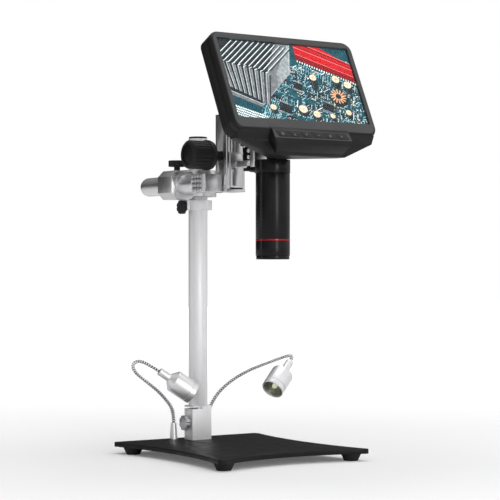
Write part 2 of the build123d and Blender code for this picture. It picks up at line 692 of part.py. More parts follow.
def head():
    face = fillet((slab(0, -head_depth, 0)).edges().group_by(Axis.Z)[-1], rim_round)
    body = screen * face
    body += chin(0) + chin_front(0) + back_hump(0)
    half_lug = lug_width / 2
    outer_hinge = half_lug + gap + knuckle_width
    body += bar(knuckle_radius, (-outer_hinge, pin_y, pin_z), (outer_hinge, pin_y, pin_z))
    room = screen * slab(shell_wall, -head_depth + shell_wall, -shell_wall)
    room += chin(shell_wall) + back_hump(shell_wall)
    room += chin_front(shell_wall + 1.2)
    cheeks = bar(knuckle_radius, (-outer_hinge, pin_y, pin_z), (outer_hinge, pin_y, pin_z))
    cheeks += box(-outer_hinge, outer_hinge, pin_y - lug_radius - 4, pin_y + 6, head_under, pin_z + 9)
    room -= cheeks
    body -= room
    slot = half_lug + gap
    body -= box(-slot, slot, pin_y - lug_radius - 2, pin_y + 20, head_under - 1, pin_z + 3)
    body -= bar(lug_radius + 1.2, (-slot, pin_y, pin_z), (slot, pin_y, pin_z))
    body -= box(-slot, slot, pin_y - 1, pin_y + 20, head_under - 1, pin_z + lug_radius + 1.2)
    body -= bar(pin_radius, (-outer_hinge, pin_y, pin_z), (outer_hinge, pin_y, pin_z))
    window = Pos(0, 0, -shell_wall) * extrude(Rectangle(screen_width + 2, screen_height + 2), shell_wall)
    body -= screen * window
    cap_top = 0.9
    depth = 5.0
    for index in range(button_count):
        body -= button_place(index) * Pos(0, 0, -depth) * extrude(button_shape(gap), depth + 3)
        cap = Pos(0, 0, -3.4) * extrude(button_shape(0), 3.4 + cap_top - button_travel)
        nodes[f"button_{index + 1}"] = button_place(index) * cap
    big = 400.0
    front_half = screen * Pos(0, 0, -split_depth + 0.15 + big / 2) * Box(big, big, big)
    rear_half = screen * Pos(0, 0, -split_depth - 0.15 - big / 2) * Box(big, big, big)
    jack_place = Pos(head_half_width, head_top - jack_drop, -jack_depth)
    jack = jack_place * Pos(-jack_width / 2, 0, 0) * Box(jack_width, jack_length, jack_height)
    jack_hole = jack_place * Box(6 * shell_wall, jack_length, jack_height)
    bore = jack_place * Pos(-jack_bore_length / 2, 0, 0) * Rot(0, 90, 0) * Cylinder(jack_bore, jack_bore_length)
    nodes["front_shell"] = largest(body & front_half)
    nodes["rear_shell"] = largest((body & rear_half) - screen * jack_hole)
    nodes["power_jack"] = screen * (jack - bore)
    glass = Pos(0, 0, -glass_thickness - 0.3) * extrude(Rectangle(screen_width + 1.6, screen_height + 1.6),
                                                       glass_thickness)
    nodes["screen_glass"] = screen * glass
    panel_top = -shell_wall - gap
    panel = Pos(0, 0, panel_top - panel_thickness) * extrude(Rectangle(screen_width + 5, screen_height + 5),
                                                            panel_thickness)
    nodes["lcd_panel"] = screen * panel
    board_top = panel_top - panel_thickness - 3.5
    board = Box(screen_width - 2 * board_margin, screen_height - 1.5 * board_margin, board_thickness)
    nodes["main_board"] = screen * (Pos(0, board_lift, board_top) * board)
    nodes["tilt_pin"] = bar(pin_radius, (-outer_hinge, pin_y, pin_z), (outer_hinge, pin_y, pin_z))


def largest(shape):
    """The one main solid of a shape that a cut may have left with crumbs."""
    return shape.solids().sort_by(SortBy.VOLUME)[-1]


# --- lamps ---------------------------------------------------------------------
def tube_along(route, radius):
    """A tube of straight runs joined by tangent arcs as large as the runs allow."""
    points = [Vector(*p) for p in route]
    radii = []
    for before, here, after in zip(points, points[1:], points[2:]):
        turn = (here - before).get_angle(after - here)
        shorter = min((here - before).length, (after - here).length)
        radii.append(0.45 * shorter / math.tan(math.radians(turn / 2)))
    path = FilletPolyline(*points, radius=radii)
    start = Plane(points[0], z_dir=points[1] - points[0])
    return sweep(start * Circle(radius), path=path)


def lamp(name, side, bends, neck_start, aim):
    socket = Vector(side * lamp_offset_x, column_y + lamp_offset_y, socket_height)
    start = Vector(*neck_start)
    last = start - Vector(*aim).normalized() * lamp_run
    route = [socket, socket + Vector(0, 0, socket_run), *bends, last, start]
    nodes[f"gooseneck_{name}"] = tube_along(route, gooseneck_radius)
    along = Plane(start, z_dir=Vector(*aim))
    neck = extrude(along * Circle(lamp_neck_radius), lamp_neck_length)
    shoulder = along * Pos(0, 0, lamp_neck_length + lamp_shoulder / 2) * Cone(
        lamp_neck_radius + 1.5, lamp_radius, lamp_shoulder)
    can = along * Pos(0, 0, lamp_neck_length + lamp_shoulder) * extrude(Circle(lamp_radius), lamp_length)
    mouth = lamp_neck_length + lamp_shoulder + lamp_length
    hollow = along * Pos(0, 0, mouth - 12) * extrude(Circle(lamp_radius - 1.2), 12)
    lens = along * Pos(0, 0, mouth - 3) * extrude(Circle(lamp_radius - 1.2 - slip), 2)
    led = along * Pos(0, 0, mouth - 12) * extrude(Circle(lamp_radius - 1.2 - slip), 1.6)
    led += along * Pos(0, 0, mouth - 10.4) * extrude(Circle(2.4), 1.5)
    nodes[f"lamp_{name}"] = neck + shoulder + can - hollow
    nodes[f"lamp_lens_{name}"] = lens
    nodes[f"lamp_led_{name}"] = led


stand()
collar()
cross_clamp()
arm_rod()
focus_rail()
focus_drive()
rack_slide()
carriage()
barrel()
head()
lamp("left", -1, left_bends, left_start, left_aim)
lamp("right", 1, right_bends, right_start, right_aim)

os.makedirs("parts", exist_ok=True)
for node, shape in nodes.items():
    export_step(shape, f"parts/{node}.step")
print(len(nodes), "nodes")
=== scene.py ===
import json
import math
import random

import bmesh
import bpy
from mathutils import Matrix, Vector


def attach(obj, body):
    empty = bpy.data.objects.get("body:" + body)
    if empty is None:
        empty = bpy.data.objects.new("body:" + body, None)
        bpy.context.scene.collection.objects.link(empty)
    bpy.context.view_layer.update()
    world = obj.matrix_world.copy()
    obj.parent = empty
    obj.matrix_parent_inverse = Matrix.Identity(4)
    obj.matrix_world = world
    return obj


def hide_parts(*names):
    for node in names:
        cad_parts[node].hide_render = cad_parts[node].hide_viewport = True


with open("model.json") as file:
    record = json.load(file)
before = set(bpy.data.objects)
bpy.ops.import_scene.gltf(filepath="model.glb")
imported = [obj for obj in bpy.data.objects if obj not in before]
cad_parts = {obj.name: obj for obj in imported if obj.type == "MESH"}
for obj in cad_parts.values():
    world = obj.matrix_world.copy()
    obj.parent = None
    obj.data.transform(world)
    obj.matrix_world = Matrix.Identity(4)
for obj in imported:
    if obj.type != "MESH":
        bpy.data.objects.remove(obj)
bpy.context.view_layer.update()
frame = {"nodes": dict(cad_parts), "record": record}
nodes = frame["nodes"]
bodyOf = {node: body for body, members in frame["record"]["behaviour"]["bodies"].items()
          for node in members}
mm = 0.001


# small helpers
def addObject(name, mesh):
    piece = bpy.data.objects.new(name, mesh)
    bpy.context.scene.collection.objects.link(piece)
    return piece


def smoothByAngle(mesh, degrees=32):
    mesh.shade_smooth()
    mesh.set_sharp_from_angle(angle=math.radians(degrees))


def bakedMesh(piece):                   # what the modifiers make of it, as a plain mesh
    graph = bpy.context.evaluated_depsgraph_get()
    graph.update()
    return bpy.data.meshes.new_from_object(piece.evaluated_get(graph))


def meshFrom(name, points, faces, place=None):
    mesh = bpy.data.meshes.new(name)
    mesh.from_pydata([Vector(p) * mm for p in points], [], faces)
    if place:
        mesh.transform(place)
    tidy = bmesh.new()
    tidy.from_mesh(mesh)
    bmesh.ops.remove_doubles(tidy, verts=tidy.verts, dist=1e-7)
    bmesh.ops.recalc_face_normals(tidy, faces=tidy.faces)
    tidy.to_mesh(mesh)
    tidy.free()
    return mesh


def rectangle(halfWide, halfTall):      # corners round the middle
    return [(-halfWide, -halfTall), (halfWide, -halfTall), (halfWide, halfTall), (-halfWide, halfTall)]


def plateShape(corners, bottom, top):
    count = len(corners)
    points = [(x, y, bottom) for x, y in corners] + [(x, y, top) for x, y in corners]
    faces = [tuple(reversed(range(count))), tuple(range(count, 2 * count))]
    faces += [(k, (k + 1) % count, count + (k + 1) % count, count + k) for k in range(count)]
    return points, faces


def plate(name, corners, bottom, top, place=None):
    return addObject(name, meshFrom(name, *plateShape(corners, bottom, top), place))


def turned(name, profile, steps, place, degrees=32):      # profile of radius and height
    points = []
    faces = []
    rows = len(profile)
    for step in range(steps):
        turn = 2 * math.pi * step / steps
        points += [(radius * math.cos(turn), radius * math.sin(turn), height) for radius, height in profile]
    for step in range(steps):
        here = step * rows
        there = (step + 1) % steps * rows
        for row in range(rows - 1):
            faces.append((here + row, there + row, there + row + 1, here + row + 1))
    piece = addObject(name, meshFrom(name, points, faces, place))
    smoothByAngle(piece.data, degrees)
    return piece


def aimAt(start, aim):                  # its own Z runs along the aim
    turn = Vector(aim).normalized().to_track_quat("Z", "Y").to_matrix().to_4x4()
    return Matrix.Translation(Vector(start) * mm) @ turn


def dress(piece, material):
    piece.data.materials.clear()
    piece.data.materials.append(material)


def settle(piece, node, material=None, replaced=True):      # gives it the node's body and the given finish, and hides the node when it replaces it
    if material:
        dress(piece, material)
    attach(piece, bodyOf[node])
    if replaced:
        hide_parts(node)


# shared shader nodes and effects
effectSpans = {"mottle": (0.3, 0.7, 0.0, 1.0), "upward": (0.3, 1.0, 0.0, 1.0),
               "sideShade": (0.93, 0.998, 1.0, 0.0)}
mixSocket = {"factor": 0, "first": 6, "second": 7}     # a Mix node's sockets for colours


def setInputs(node, values):
    for label, value in values.items():
        node.inputs[label].default_value = value


def rangeNode(tree, value, span):       # span of low and high before, low and high after
    node = tree.nodes.new("ShaderNodeMapRange")
    setInputs(node, dict(zip(("From Min", "From Max", "To Min", "To Max"), span)))
    tree.links.new(value, node.inputs["Value"])
    return node


def mathNode(tree, operation, *values, kind="ShaderNodeMath"):
    node = tree.nodes.new(kind)
    node.operation = operation
    for socket, value in zip(node.inputs, values):
        tree.links.new(value, socket)
    return node


def newEffect(name, inputs, output):
    tree = bpy.data.node_groups.new(name, "ShaderNodeTree")
    for label, kind, value in inputs:
        socket = tree.interface.new_socket(name=label, in_out="INPUT", socket_type=kind)
        socket.default_value = value
    tree.interface.new_socket(name=output, in_out="OUTPUT", socket_type="NodeSocketFloat")
    return tree, tree.nodes.new("NodeGroupInput"), tree.nodes.new("NodeGroupOutput")


def mottleEffect():                     # soft patches between two values
    tree, given, result = newEffect("mottle", [
        ("Spread", "NodeSocketVector", (60, 60, 60)), ("Detail", "NodeSocketFloat", 3.0),
        ("Low", "NodeSocketFloat", 0.0), ("High", "NodeSocketFloat", 1.0)], "Value")
    link = tree.links.new
    place = tree.nodes.new("ShaderNodeTexCoord")
    noise = tree.nodes.new("ShaderNodeTexNoise")
    noise.inputs["Scale"].default_value = 1.0
    stretch = mathNode(tree, "MULTIPLY", place.outputs["Object"], given.outputs["Spread"],
                       kind="ShaderNodeVectorMath")
    link(stretch.outputs[0], noise.inputs["Vector"])
    link(given.outputs["Detail"], noise.inputs["Detail"])
    spread = rangeNode(tree, noise.outputs["Fac"], effectSpans["mottle"])
    link(given.outputs["Low"], spread.inputs["To Min"])
    link(given.outputs["High"], spread.inputs["To Max"])
    link(spread.outputs["Result"], result.inputs["Value"])
    return tree


def dustEffect():                       # thin dust on what faces up
    tree, given, result = newEffect("dust", [
        ("Amount", "NodeSocketFloat", 0.1), ("Spread", "NodeSocketFloat", 90.0)], "Mask")
    link = tree.links.new
    place = tree.nodes.new("ShaderNodeTexCoord")
    split = tree.nodes.new("ShaderNodeSeparateXYZ")
    noise = tree.nodes.new("ShaderNodeTexNoise")
    link(place.outputs["Normal"], split.inputs[0])
    link(place.outputs["Object"], noise.inputs["Vector"])
    link(given.outputs["Spread"], noise.inputs["Scale"])
    upward = rangeNode(tree, split.outputs["Z"], effectSpans["upward"])
    both = mathNode(tree, "MULTIPLY", upward.outputs["Result"], noise.outputs["Fac"])
    strength = mathNode(tree, "MULTIPLY", both.outputs[0], given.outputs["Amount"])
    strength.use_clamp = True
    link(strength.outputs[0], result.inputs["Mask"])
    return tree


def paintedSideShadeEffect():                 # finds what doesn't face a direction, for a painted shade on those sides
    tree, given, result = newEffect("paintedSideShade", [("Direction", "NodeSocketVector", (0, -1, 0))], "Mask")
    place = tree.nodes.new("ShaderNodeTexCoord")
    facing = mathNode(tree, "DOT_PRODUCT", place.outputs["Normal"], given.outputs["Direction"],
                      kind="ShaderNodeVectorMath")
    mask = rangeNode(tree, facing.outputs["Value"], effectSpans["sideShade"])
    tree.links.new(mask.outputs["Result"], result.inputs["Mask"])
    return tree


effects = {"mottle": mottleEffect(), "dust": dustEffect(), "paintedSideShade": paintedSideShadeEffect()}


def useEffect(tree, name, **values):
    node = tree.nodes.new("ShaderNodeGroup")
    node.node_tree = effects[name]
    setInputs(node, values)
    return node


def blendColours(tree, first, second, factor):
    mix = tree.nodes.new("ShaderNodeMix")
    mix.data_type = "RGBA"
    mix.inputs[mixSocket["second"]].default_value = (*second, 1)
    if isinstance(first, tuple):
        mix.inputs[mixSocket["first"]].default_value = (*first, 1)
    else:
        tree.links.new(first, mix.inputs[mixSocket["first"]])
    tree.links.new(factor, mix.inputs[mixSocket["factor"]])
    return mix.outputs[2]


# finishes
plainLook = {"metal": 0.0, "rough": (0.4, 0.5), "toneSpread": 45, "grainSpread": 900,
             "grainDepth": 0.00004, "grainStrength": 0.3, "grainDetail": 2.0, "dust": 0.0, "specular": 0.5,
             "glow": 0.0, "front": None, "side": None}
roughSpread = 1.7                       # roughness changes in finer patches than the tone does
dustColour = (0.45, 0.44, 0.42)
smear = {"spread": (70, 70, 70), "rise": 1.5}


def triple(spread):
    return spread if isinstance(spread, tuple) else (spread, spread, spread)


def newFinish(name, colour, second, **changes):
    look = {**plainLook, **changes}
    material = bpy.data.materials.new(name)
    material.use_nodes = True
    tree = material.node_tree
    link = tree.links.new
    shader = tree.nodes["Principled BSDF"]
    toneSpread = triple(look["toneSpread"])
    tone = useEffect(tree, "mottle", Spread=toneSpread)
    shade = blendColours(tree, colour, second, tone.outputs[0])
    # painted shade: faces turned away from the front direction get the darker side colour
    if look["front"]:
        sideShade = useEffect(tree, "paintedSideShade", Direction=look["front"])
        shade = blendColours(tree, shade, look["side"], sideShade.outputs[0])
    if look["dust"]:
        dust = useEffect(tree, "dust", Amount=look["dust"])
        shade = blendColours(tree, shade, dustColour, dust.outputs[0])
    link(shade, shader.inputs["Base Color"])
    low, high = look["rough"]
    rough = useEffect(tree, "mottle", Spread=tuple(roughSpread * s for s in toneSpread), Low=low, High=high)
    link(rough.outputs[0], shader.inputs["Roughness"])
    grain = useEffect(tree, "mottle", Spread=triple(look["grainSpread"]), Detail=look["grainDetail"])
    bump = tree.nodes.new("ShaderNodeBump")
    setInputs(bump, {"Strength": look["grainStrength"], "Distance": look["grainDepth"]})
    link(grain.outputs[0], bump.inputs["Height"])
    link(bump.outputs["Normal"], shader.inputs["Normal"])
    setInputs(shader, {"Metallic": look["metal"], "Specular IOR Level": look["specular"]})
    if look["glow"]:
        link(shade, shader.inputs["Emission Color"])
        shader.inputs["Emission Strength"].default_value = look["glow"]
    return material


def newGlass(name, tint, rough, index):
    material = bpy.data.materials.new(name)
    material.use_nodes = True
    tree = material.node_tree
    shader = tree.nodes["Principled BSDF"]
    haze = useEffect(tree, "mottle", Spread=smear["spread"], Low=rough, High=smear["rise"] * rough)
    tree.links.new(haze.outputs[0], shader.inputs["Roughness"])
    setInputs(shader, {"Base Color": (*tint, 1), "Transmission Weight": 1.0, "IOR": index})
    return material


looks = {
    "powderBlack": dict(colour=(0.006, 0.006, 0.0065), second=(0.01, 0.01, 0.0105), rough=(0.36, 0.48),
                        grainSpread=1100, grainDepth=0.00008, dust=0.02, specular=0.14),
    "satinAluminium": dict(colour=(0.66, 0.66, 0.67), second=(0.6, 0.6, 0.61), metal=0.95,
                           rough=(0.27, 0.34), toneSpread=350, grainSpread=1500, grainDepth=0.00002),
    "brushedColumn": dict(colour=(0.84, 0.84, 0.85), second=(0.8, 0.8, 0.81), metal=0.4, rough=(0.42, 0.5),
                          toneSpread=(300, 300, 14), grainSpread=(2500, 2500, 30), grainDepth=0.00001),
    "brushedRod": dict(colour=(0.8, 0.8, 0.81), second=(0.76, 0.76, 0.77), metal=1.0, rough=(0.3, 0.38),
                       toneSpread=(300, 14, 300), grainSpread=(2500, 30, 2500), grainDepth=0.00001),
    "lampSilver": dict(colour=(0.82, 0.82, 0.83), second=(0.76, 0.76, 0.77), metal=0.7, rough=(0.3, 0.4),
                       grainDepth=0.00001),
    # painted shade: the gooseneck core is near black for the shade in the gaps between its rings
    "paintedCoilGapShade": dict(colour=(0.02, 0.02, 0.022), second=(0.03, 0.03, 0.032), rough=(0.5, 0.6),
                      specular=0.2),
    "chrome": dict(colour=(0.95, 0.95, 0.96), second=(0.88, 0.88, 0.9), metal=0.55, rough=(0.12, 0.2),
                   grainDepth=0.00001),
    "blackAnodised": dict(colour=(0.006, 0.006, 0.007), second=(0.009, 0.009, 0.01), rough=(0.2, 0.27),
                          toneSpread=(300, 300, 20), grainSpread=(1500, 1500, 60), grainDepth=0.00002,
                          specular=0.17),
    "darkSteel": dict(colour=(0.09, 0.09, 0.095), second=(0.14, 0.14, 0.145), metal=1.0, rough=(0.3, 0.45),
                      grainDepth=0.00003),
    "brightSteel": dict(colour=(0.6, 0.6, 0.6), second=(0.5, 0.5, 0.5), metal=1.0, rough=(0.18, 0.3),
                        grainDepth=0.00002),
    "gripSteel": dict(colour=(0.8, 0.8, 0.81), second=(0.5, 0.5, 0.51), metal=1.0, rough=(0.25, 0.35),
                      toneSpread=300),
    "screwSilver": dict(colour=(0.85, 0.85, 0.85), second=(0.7, 0.7, 0.7), metal=0.3, rough=(0.3, 0.4)),
    "printGrey": dict(colour=(0.09, 0.09, 0.092), second=(0.07, 0.07, 0.072), rough=(0.4, 0.5)),
    "brass": dict(colour=(0.72, 0.52, 0.2), second=(0.6, 0.42, 0.16), metal=1.0, rough=(0.25, 0.4)),
    "knobBlack": dict(colour=(0.011, 0.011, 0.012), second=(0.016, 0.016, 0.016), rough=(0.44, 0.54),
                      grainDepth=0.00006, dust=0.03, specular=0.22),
    "capBlack": dict(colour=(0.006, 0.006, 0.006), second=(0.009, 0.009, 0.009), rough=(0.4, 0.5),
                     specular=0.2),
    "greyKnob": dict(colour=(0.5, 0.5, 0.51), second=(0.42, 0.42, 0.43), metal=0.8, rough=(0.3, 0.4)),
    "shellBlack": dict(colour=(0.008, 0.008, 0.009), second=(0.012, 0.012, 0.013), rough=(0.4, 0.5),
                       grainSpread=1800, grainDepth=0.00005, grainStrength=0.45, specular=0.18),
    # the bezel's front grey is partly its own colour and partly painted sheen; its sides are painted darker
    # as shade
    "bezelBlack": dict(colour=(0.055, 0.055, 0.056), second=(0.066, 0.066, 0.067), rough=(0.36, 0.46),
                       grainSpread=1800, grainDepth=0.00005, grainStrength=0.4, specular=0.22,
                       front=(0, -0.8988, 0.4384), side=(0.008, 0.008, 0.009)),
    "buttonBlack": dict(colour=(0.008, 0.008, 0.009), second=(0.012, 0.012, 0.013), rough=(0.3, 0.4),
                        specular=0.3),
    "footRubber": dict(colour=(0.012, 0.012, 0.012), second=(0.018, 0.018, 0.017), rough=(0.6, 0.8),
                       grainSpread=700, grainDepth=0.0001, dust=0.04, specular=0.2),
    "redBand": dict(colour=(0.42, 0.01, 0.022), second=(0.34, 0.008, 0.018), metal=0.7, rough=(0.2, 0.3)),
    "boardGreen": dict(colour=(0.01, 0.12, 0.05), second=(0.008, 0.09, 0.04), rough=(0.3, 0.4)),
    "ledYellow": dict(colour=(0.8, 0.79, 0.62), second=(0.74, 0.72, 0.54), rough=(0.3, 0.5), glow=0.7),
    "reflector": dict(colour=(0.36, 0.37, 0.31), second=(0.26, 0.27, 0.22), metal=0.4, rough=(0.25, 0.35),
                      toneSpread=200),
}
glassLooks = {
    "lensGlass": {"tint": (0.93, 0.95, 0.9), "rough": 0.006, "index": 1.2},
    "screenGlass": {"tint": (0.98, 0.985, 0.985), "rough": 0.004, "index": 1.14},
    "coatedLens": {"tint": (0.5, 0.6, 0.8), "rough": 0.01, "index": 1.45},
}
finishes = {name: newFinish(name, **look) for name, look in looks.items()}
finishes.update({name: newGlass(name, **look) for name, look in glassLooks.items()})
print("finishes ready:", len(finishes))


# CAD pieces with rounded edges
edges = {"segments": 2, "angle": math.radians(30), "flat": math.radians(1), "weld": 2e-7}


def soften(node, finish, width):        # rounds the edges of a copy of the CAD piece
    copied = bmesh.new()
    copied.from_mesh(nodes[node].data)
    bmesh.ops.remove_doubles(copied, verts=copied.verts, dist=edges["weld"])
    bmesh.ops.dissolve_limit(copied, angle_limit=edges["flat"], verts=copied.verts, edges=copied.edges)
    mesh = bpy.data.meshes.new(node)
    copied.to_mesh(mesh)
    copied.free()
    piece = addObject(node + "_finished", mesh)
    bevel = piece.modifiers.new("edges", "BEVEL")
    bevel.width = width * mm
    bevel.segments = edges["segments"]
    bevel.limit_method = "ANGLE"
    bevel.angle_limit = edges["angle"]
    bevel.use_clamp_overlap = True
    baked = bakedMesh(piece)
    piece.modifiers.clear()
    piece.data = baked
    smoothByAngle(piece.data)
    settle(piece, node, finishes[finish])


softened = {                            # finish, and width of the rounded edges
    "base_plate": ("powderBlack", 0.5), "rubber_feet": ("footRubber", 0.6),
    "column_block": ("brushedColumn", 0.5), "column_tube": ("brushedColumn", 0.4),
    "column_cap": ("knobBlack", 0.35), "lamp_sockets": ("lampSilver", 0.25),
    "block_knob": ("greyKnob", 0.3), "safety_collar": ("brushedColumn", 0.4),
    "collar_knob": ("knobBlack", 0.3), "cross_clamp": ("satinAluminium", 0.35),
    "rod_knob": ("knobBlack", 0.3), "column_knob": ("knobBlack", 0.3),
    "rail_bracket": ("satinAluminium", 0.3), "focus_rail": ("satinAluminium", 0.25),
    "rail_end_plate": ("satinAluminium", 0.3), "focus_knobs": ("knobBlack", 0.3),
    "focus_knob_caps": ("capBlack", 0.2), "rack_slide": ("satinAluminium", 0.12),
    "carriage": ("satinAluminium", 0.25), "holder_block": ("blackAnodised", 0.5),
    "holder_plate": ("satinAluminium", 0.4), "holder_ring": ("blackAnodised", 0.4),
    "holder_screws": ("screwSilver", 0.2), "holder_knob": ("knobBlack", 0.3),
    "barrel_tube": ("blackAnodised", 0.35), "red_ring": ("redBand", 0.08),
    "barrel_nose": ("blackAnodised", 0.3), "front_shell": ("bezelBlack", 0.5),
    "rear_shell": ("shellBlack", 0.5), "tilt_lug": ("blackAnodised", 0.3),
    "tilt_pin": ("brightSteel", 0.2),
}
softened.update({f"button_{number}": ("buttonBlack", 0.3) for number in range(1, 7)})
carried = {                             # pieces that keep the CAD's own mesh
    "base_screws": "brightSteel", "column_stud": "brightSteel", "bracket_screws": "brightSteel",
    "shaft_bushes": "brass", "pinion": "brass", "pinion_shaft": "brightSteel",
    "objective_lens": "coatedLens", "lens_cell": "blackAnodised", "sensor_board": "boardGreen",
    "power_jack": "capBlack", "main_board": "boardGreen", "screen_glass": "screenGlass",
    "lamp_led_left": "ledYellow", "lamp_led_right": "ledYellow",
}
for node, (finish, width) in softened.items():
    soften(node, finish, width)
for node, finish in carried.items():
    dress(nodes[node], finishes[finish])
print("frame pieces finished:", len(softened) + len(carried))


# geometry node trees
tubeSteps = {"round": 20, "wire": 6}


def newTree(name, inputs):
    tree = bpy.data.node_groups.new(name, "GeometryNodeTree")
    tree.interface.new_socket(name="Geometry", in_out="INPUT", socket_type="NodeSocketGeometry")
    for label, kind, value in inputs:
        socket = tree.interface.new_socket(name=label, in_out="INPUT", socket_type=kind)
        if value is not None:
            socket.default_value = value
    tree.interface.new_socket(name="Geometry", in_out="OUTPUT", socket_type="NodeSocketGeometry")
    return tree, tree.nodes.new("NodeGroupInput"), tree.nodes.new("NodeGroupOutput")


def finishTree(tree, given, result, geometry, kept=None):      # keeps the faces of one finish
    plain = tree.nodes.new("GeometryNodeRealizeInstances")
    shade = tree.nodes.new("GeometryNodeSetMaterial")
    link = tree.links.new
    if kept:
        own = tree.nodes.new("GeometryNodeMaterialSelection")
        other = tree.nodes.new("FunctionNodeBooleanMath")
        other.operation = "NOT"
        link(given.outputs[kept], own.inputs["Material"])
        link(own.outputs["Selection"], other.inputs[0])
        link(other.outputs[0], shade.inputs["Selection"])
    link(geometry, plain.inputs[0])
    link(plain.outputs[0], shade.inputs["Geometry"])
    link(given.outputs["Finish"], shade.inputs["Material"])
    link(shade.outputs[0], result.inputs[0])
    return tree


def growWith(tree, piece, values):
    modifier = piece.modifiers.new("grow", "NODES")
    modifier.node_group = tree
    ids = {item.name: item.identifier for item in tree.interface.items_tree if item.in_out == "INPUT"}
    for label, value in values.items():
        modifier[ids[label]] = value
    name, mesh = piece.name, bakedMesh(piece)
    bpy.data.objects.remove(piece)
    return addObject(name, mesh)


def circleNode(tree, radius, steps):
    circle = tree.nodes.new("GeometryNodeCurvePrimitiveCircle")
    circle.inputs["Resolution"].default_value = steps
    tree.links.new(radius, circle.inputs["Radius"])
    return circle.outputs["Curve"]


def tubeNode(tree, path, profile, caps=False):
    tube = tree.nodes.new("GeometryNodeCurveToMesh")
    tube.inputs["Fill Caps"].default_value = caps
    tree.links.new(path, tube.inputs["Curve"])
    tree.links.new(profile, tube.inputs["Profile Curve"])
    return tube.outputs["Mesh"]


def ringedTubeTree():                   # a core with wire rings along a route; the core's colour is painted shade for the gaps between the rings
    tree, given, result = newTree("ringedTube", [
        ("Spacing", "NodeSocketFloat", 0.0015), ("Core Radius", "NodeSocketFloat", 0.0018),
        ("Ring Radius", "NodeSocketFloat", 0.0019), ("Wire Radius", "NodeSocketFloat", 0.0005),
        ("Core Painted Shade", "NodeSocketMaterial", None), ("Finish", "NodeSocketMaterial", None)])
    make = tree.nodes.new
    link = tree.links.new
    core = tubeNode(tree, given.outputs["Geometry"],
                    circleNode(tree, given.outputs["Core Radius"], tubeSteps["round"]), caps=True)
    ring = tubeNode(tree, circleNode(tree, given.outputs["Ring Radius"], tubeSteps["round"]),
                    circleNode(tree, given.outputs["Wire Radius"], tubeSteps["wire"]))
    stations = make("GeometryNodeCurveToPoints")
    stations.mode = "LENGTH"
    link(given.outputs["Geometry"], stations.inputs["Curve"])
    link(given.outputs["Spacing"], stations.inputs["Length"])
    rings = make("GeometryNodeInstanceOnPoints")
    link(stations.outputs["Points"], rings.inputs["Points"])
    link(stations.outputs["Rotation"], rings.inputs["Rotation"])
    link(ring, rings.inputs["Instance"])
    both = make("GeometryNodeJoinGeometry")
    smooth = make("GeometryNodeSetShadeSmooth")
    shade = make("GeometryNodeSetMaterial")
    link(core, shade.inputs["Geometry"])
    link(given.outputs["Core Painted Shade"], shade.inputs["Material"])
    link(shade.outputs[0], both.inputs[0])
    link(rings.outputs["Instances"], both.inputs[0])
    link(both.outputs[0], smooth.inputs[0])
    return finishTree(tree, given, result, smooth.outputs[0], kept="Core Painted Shade")


def studFieldTree():                    # rows of studs, on top of what is given
    tree, given, result = newTree("studField", [
        ("Width", "NodeSocketFloat", 0.02), ("Height", "NodeSocketFloat", 0.017),
        ("Columns", "NodeSocketInt", 18), ("Rows", "NodeSocketInt", 16),
        ("Stud Radius", "NodeSocketFloat", 0.0006), ("Stud Tip", "NodeSocketFloat", 0.0),
        ("Stud Height", "NodeSocketFloat", 0.0004), ("Sides", "NodeSocketInt", 4),
        ("Turn", "NodeSocketFloat", 0.0), ("Finish", "NodeSocketMaterial", None)])
    make = tree.nodes.new
    link = tree.links.new
    grid = make("GeometryNodeMeshGrid")
    stud = make("GeometryNodeMeshCone")
    turn = make("ShaderNodeCombineXYZ")
    for node, label, socket in ((grid, "Width", "Size X"), (grid, "Height", "Size Y"),
                                (grid, "Columns", "Vertices X"), (grid, "Rows", "Vertices Y"),
                                (stud, "Sides", "Vertices"), (stud, "Stud Radius", "Radius Bottom"),
                                (stud, "Stud Tip", "Radius Top"), (stud, "Stud Height", "Depth"),
                                (turn, "Turn", "Z")):
        link(given.outputs[label], node.inputs[socket])
    field = make("GeometryNodeInstanceOnPoints")
    link(grid.outputs["Mesh"], field.inputs["Points"])
    link(stud.outputs["Mesh"], field.inputs["Instance"])
    link(turn.outputs[0], field.inputs["Rotation"])
    both = make("GeometryNodeJoinGeometry")
    link(given.outputs["Geometry"], both.inputs[0])
    link(field.outputs["Instances"], both.inputs[0])
    return finishTree(tree, given, result, both.outputs[0])


def slatFieldTree():                    # one row of slats
    tree, given, result = newTree("slatField", [
        ("Width", "NodeSocketFloat", 0.07), ("Slats", "NodeSocketInt", 20),
        ("Slat", "NodeSocketVector", None), ("Finish", "NodeSocketMaterial", None)])
    make = tree.nodes.new
    link = tree.links.new
    row = make("GeometryNodeMeshGrid")
    setInputs(row, {"Size Y": 0.0, "Vertices Y": 2})
    link(given.outputs["Width"], row.inputs["Size X"])
    link(given.outputs["Slats"], row.inputs["Vertices X"])
    merged = make("GeometryNodeMergeByDistance")
    slat = make("GeometryNodeMeshCube")
    link(given.outputs["Slat"], slat.inputs["Size"])
    field = make("GeometryNodeInstanceOnPoints")
    link(row.outputs["Mesh"], merged.inputs["Geometry"])
    link(merged.outputs[0], field.inputs["Points"])
    link(slat.outputs["Mesh"], field.inputs["Instance"])
    return finishTree(tree, given, result, field.outputs["Instances"])


ringedTube = ringedTubeTree()
studField = studFieldTree()
slatField = slatFieldTree()


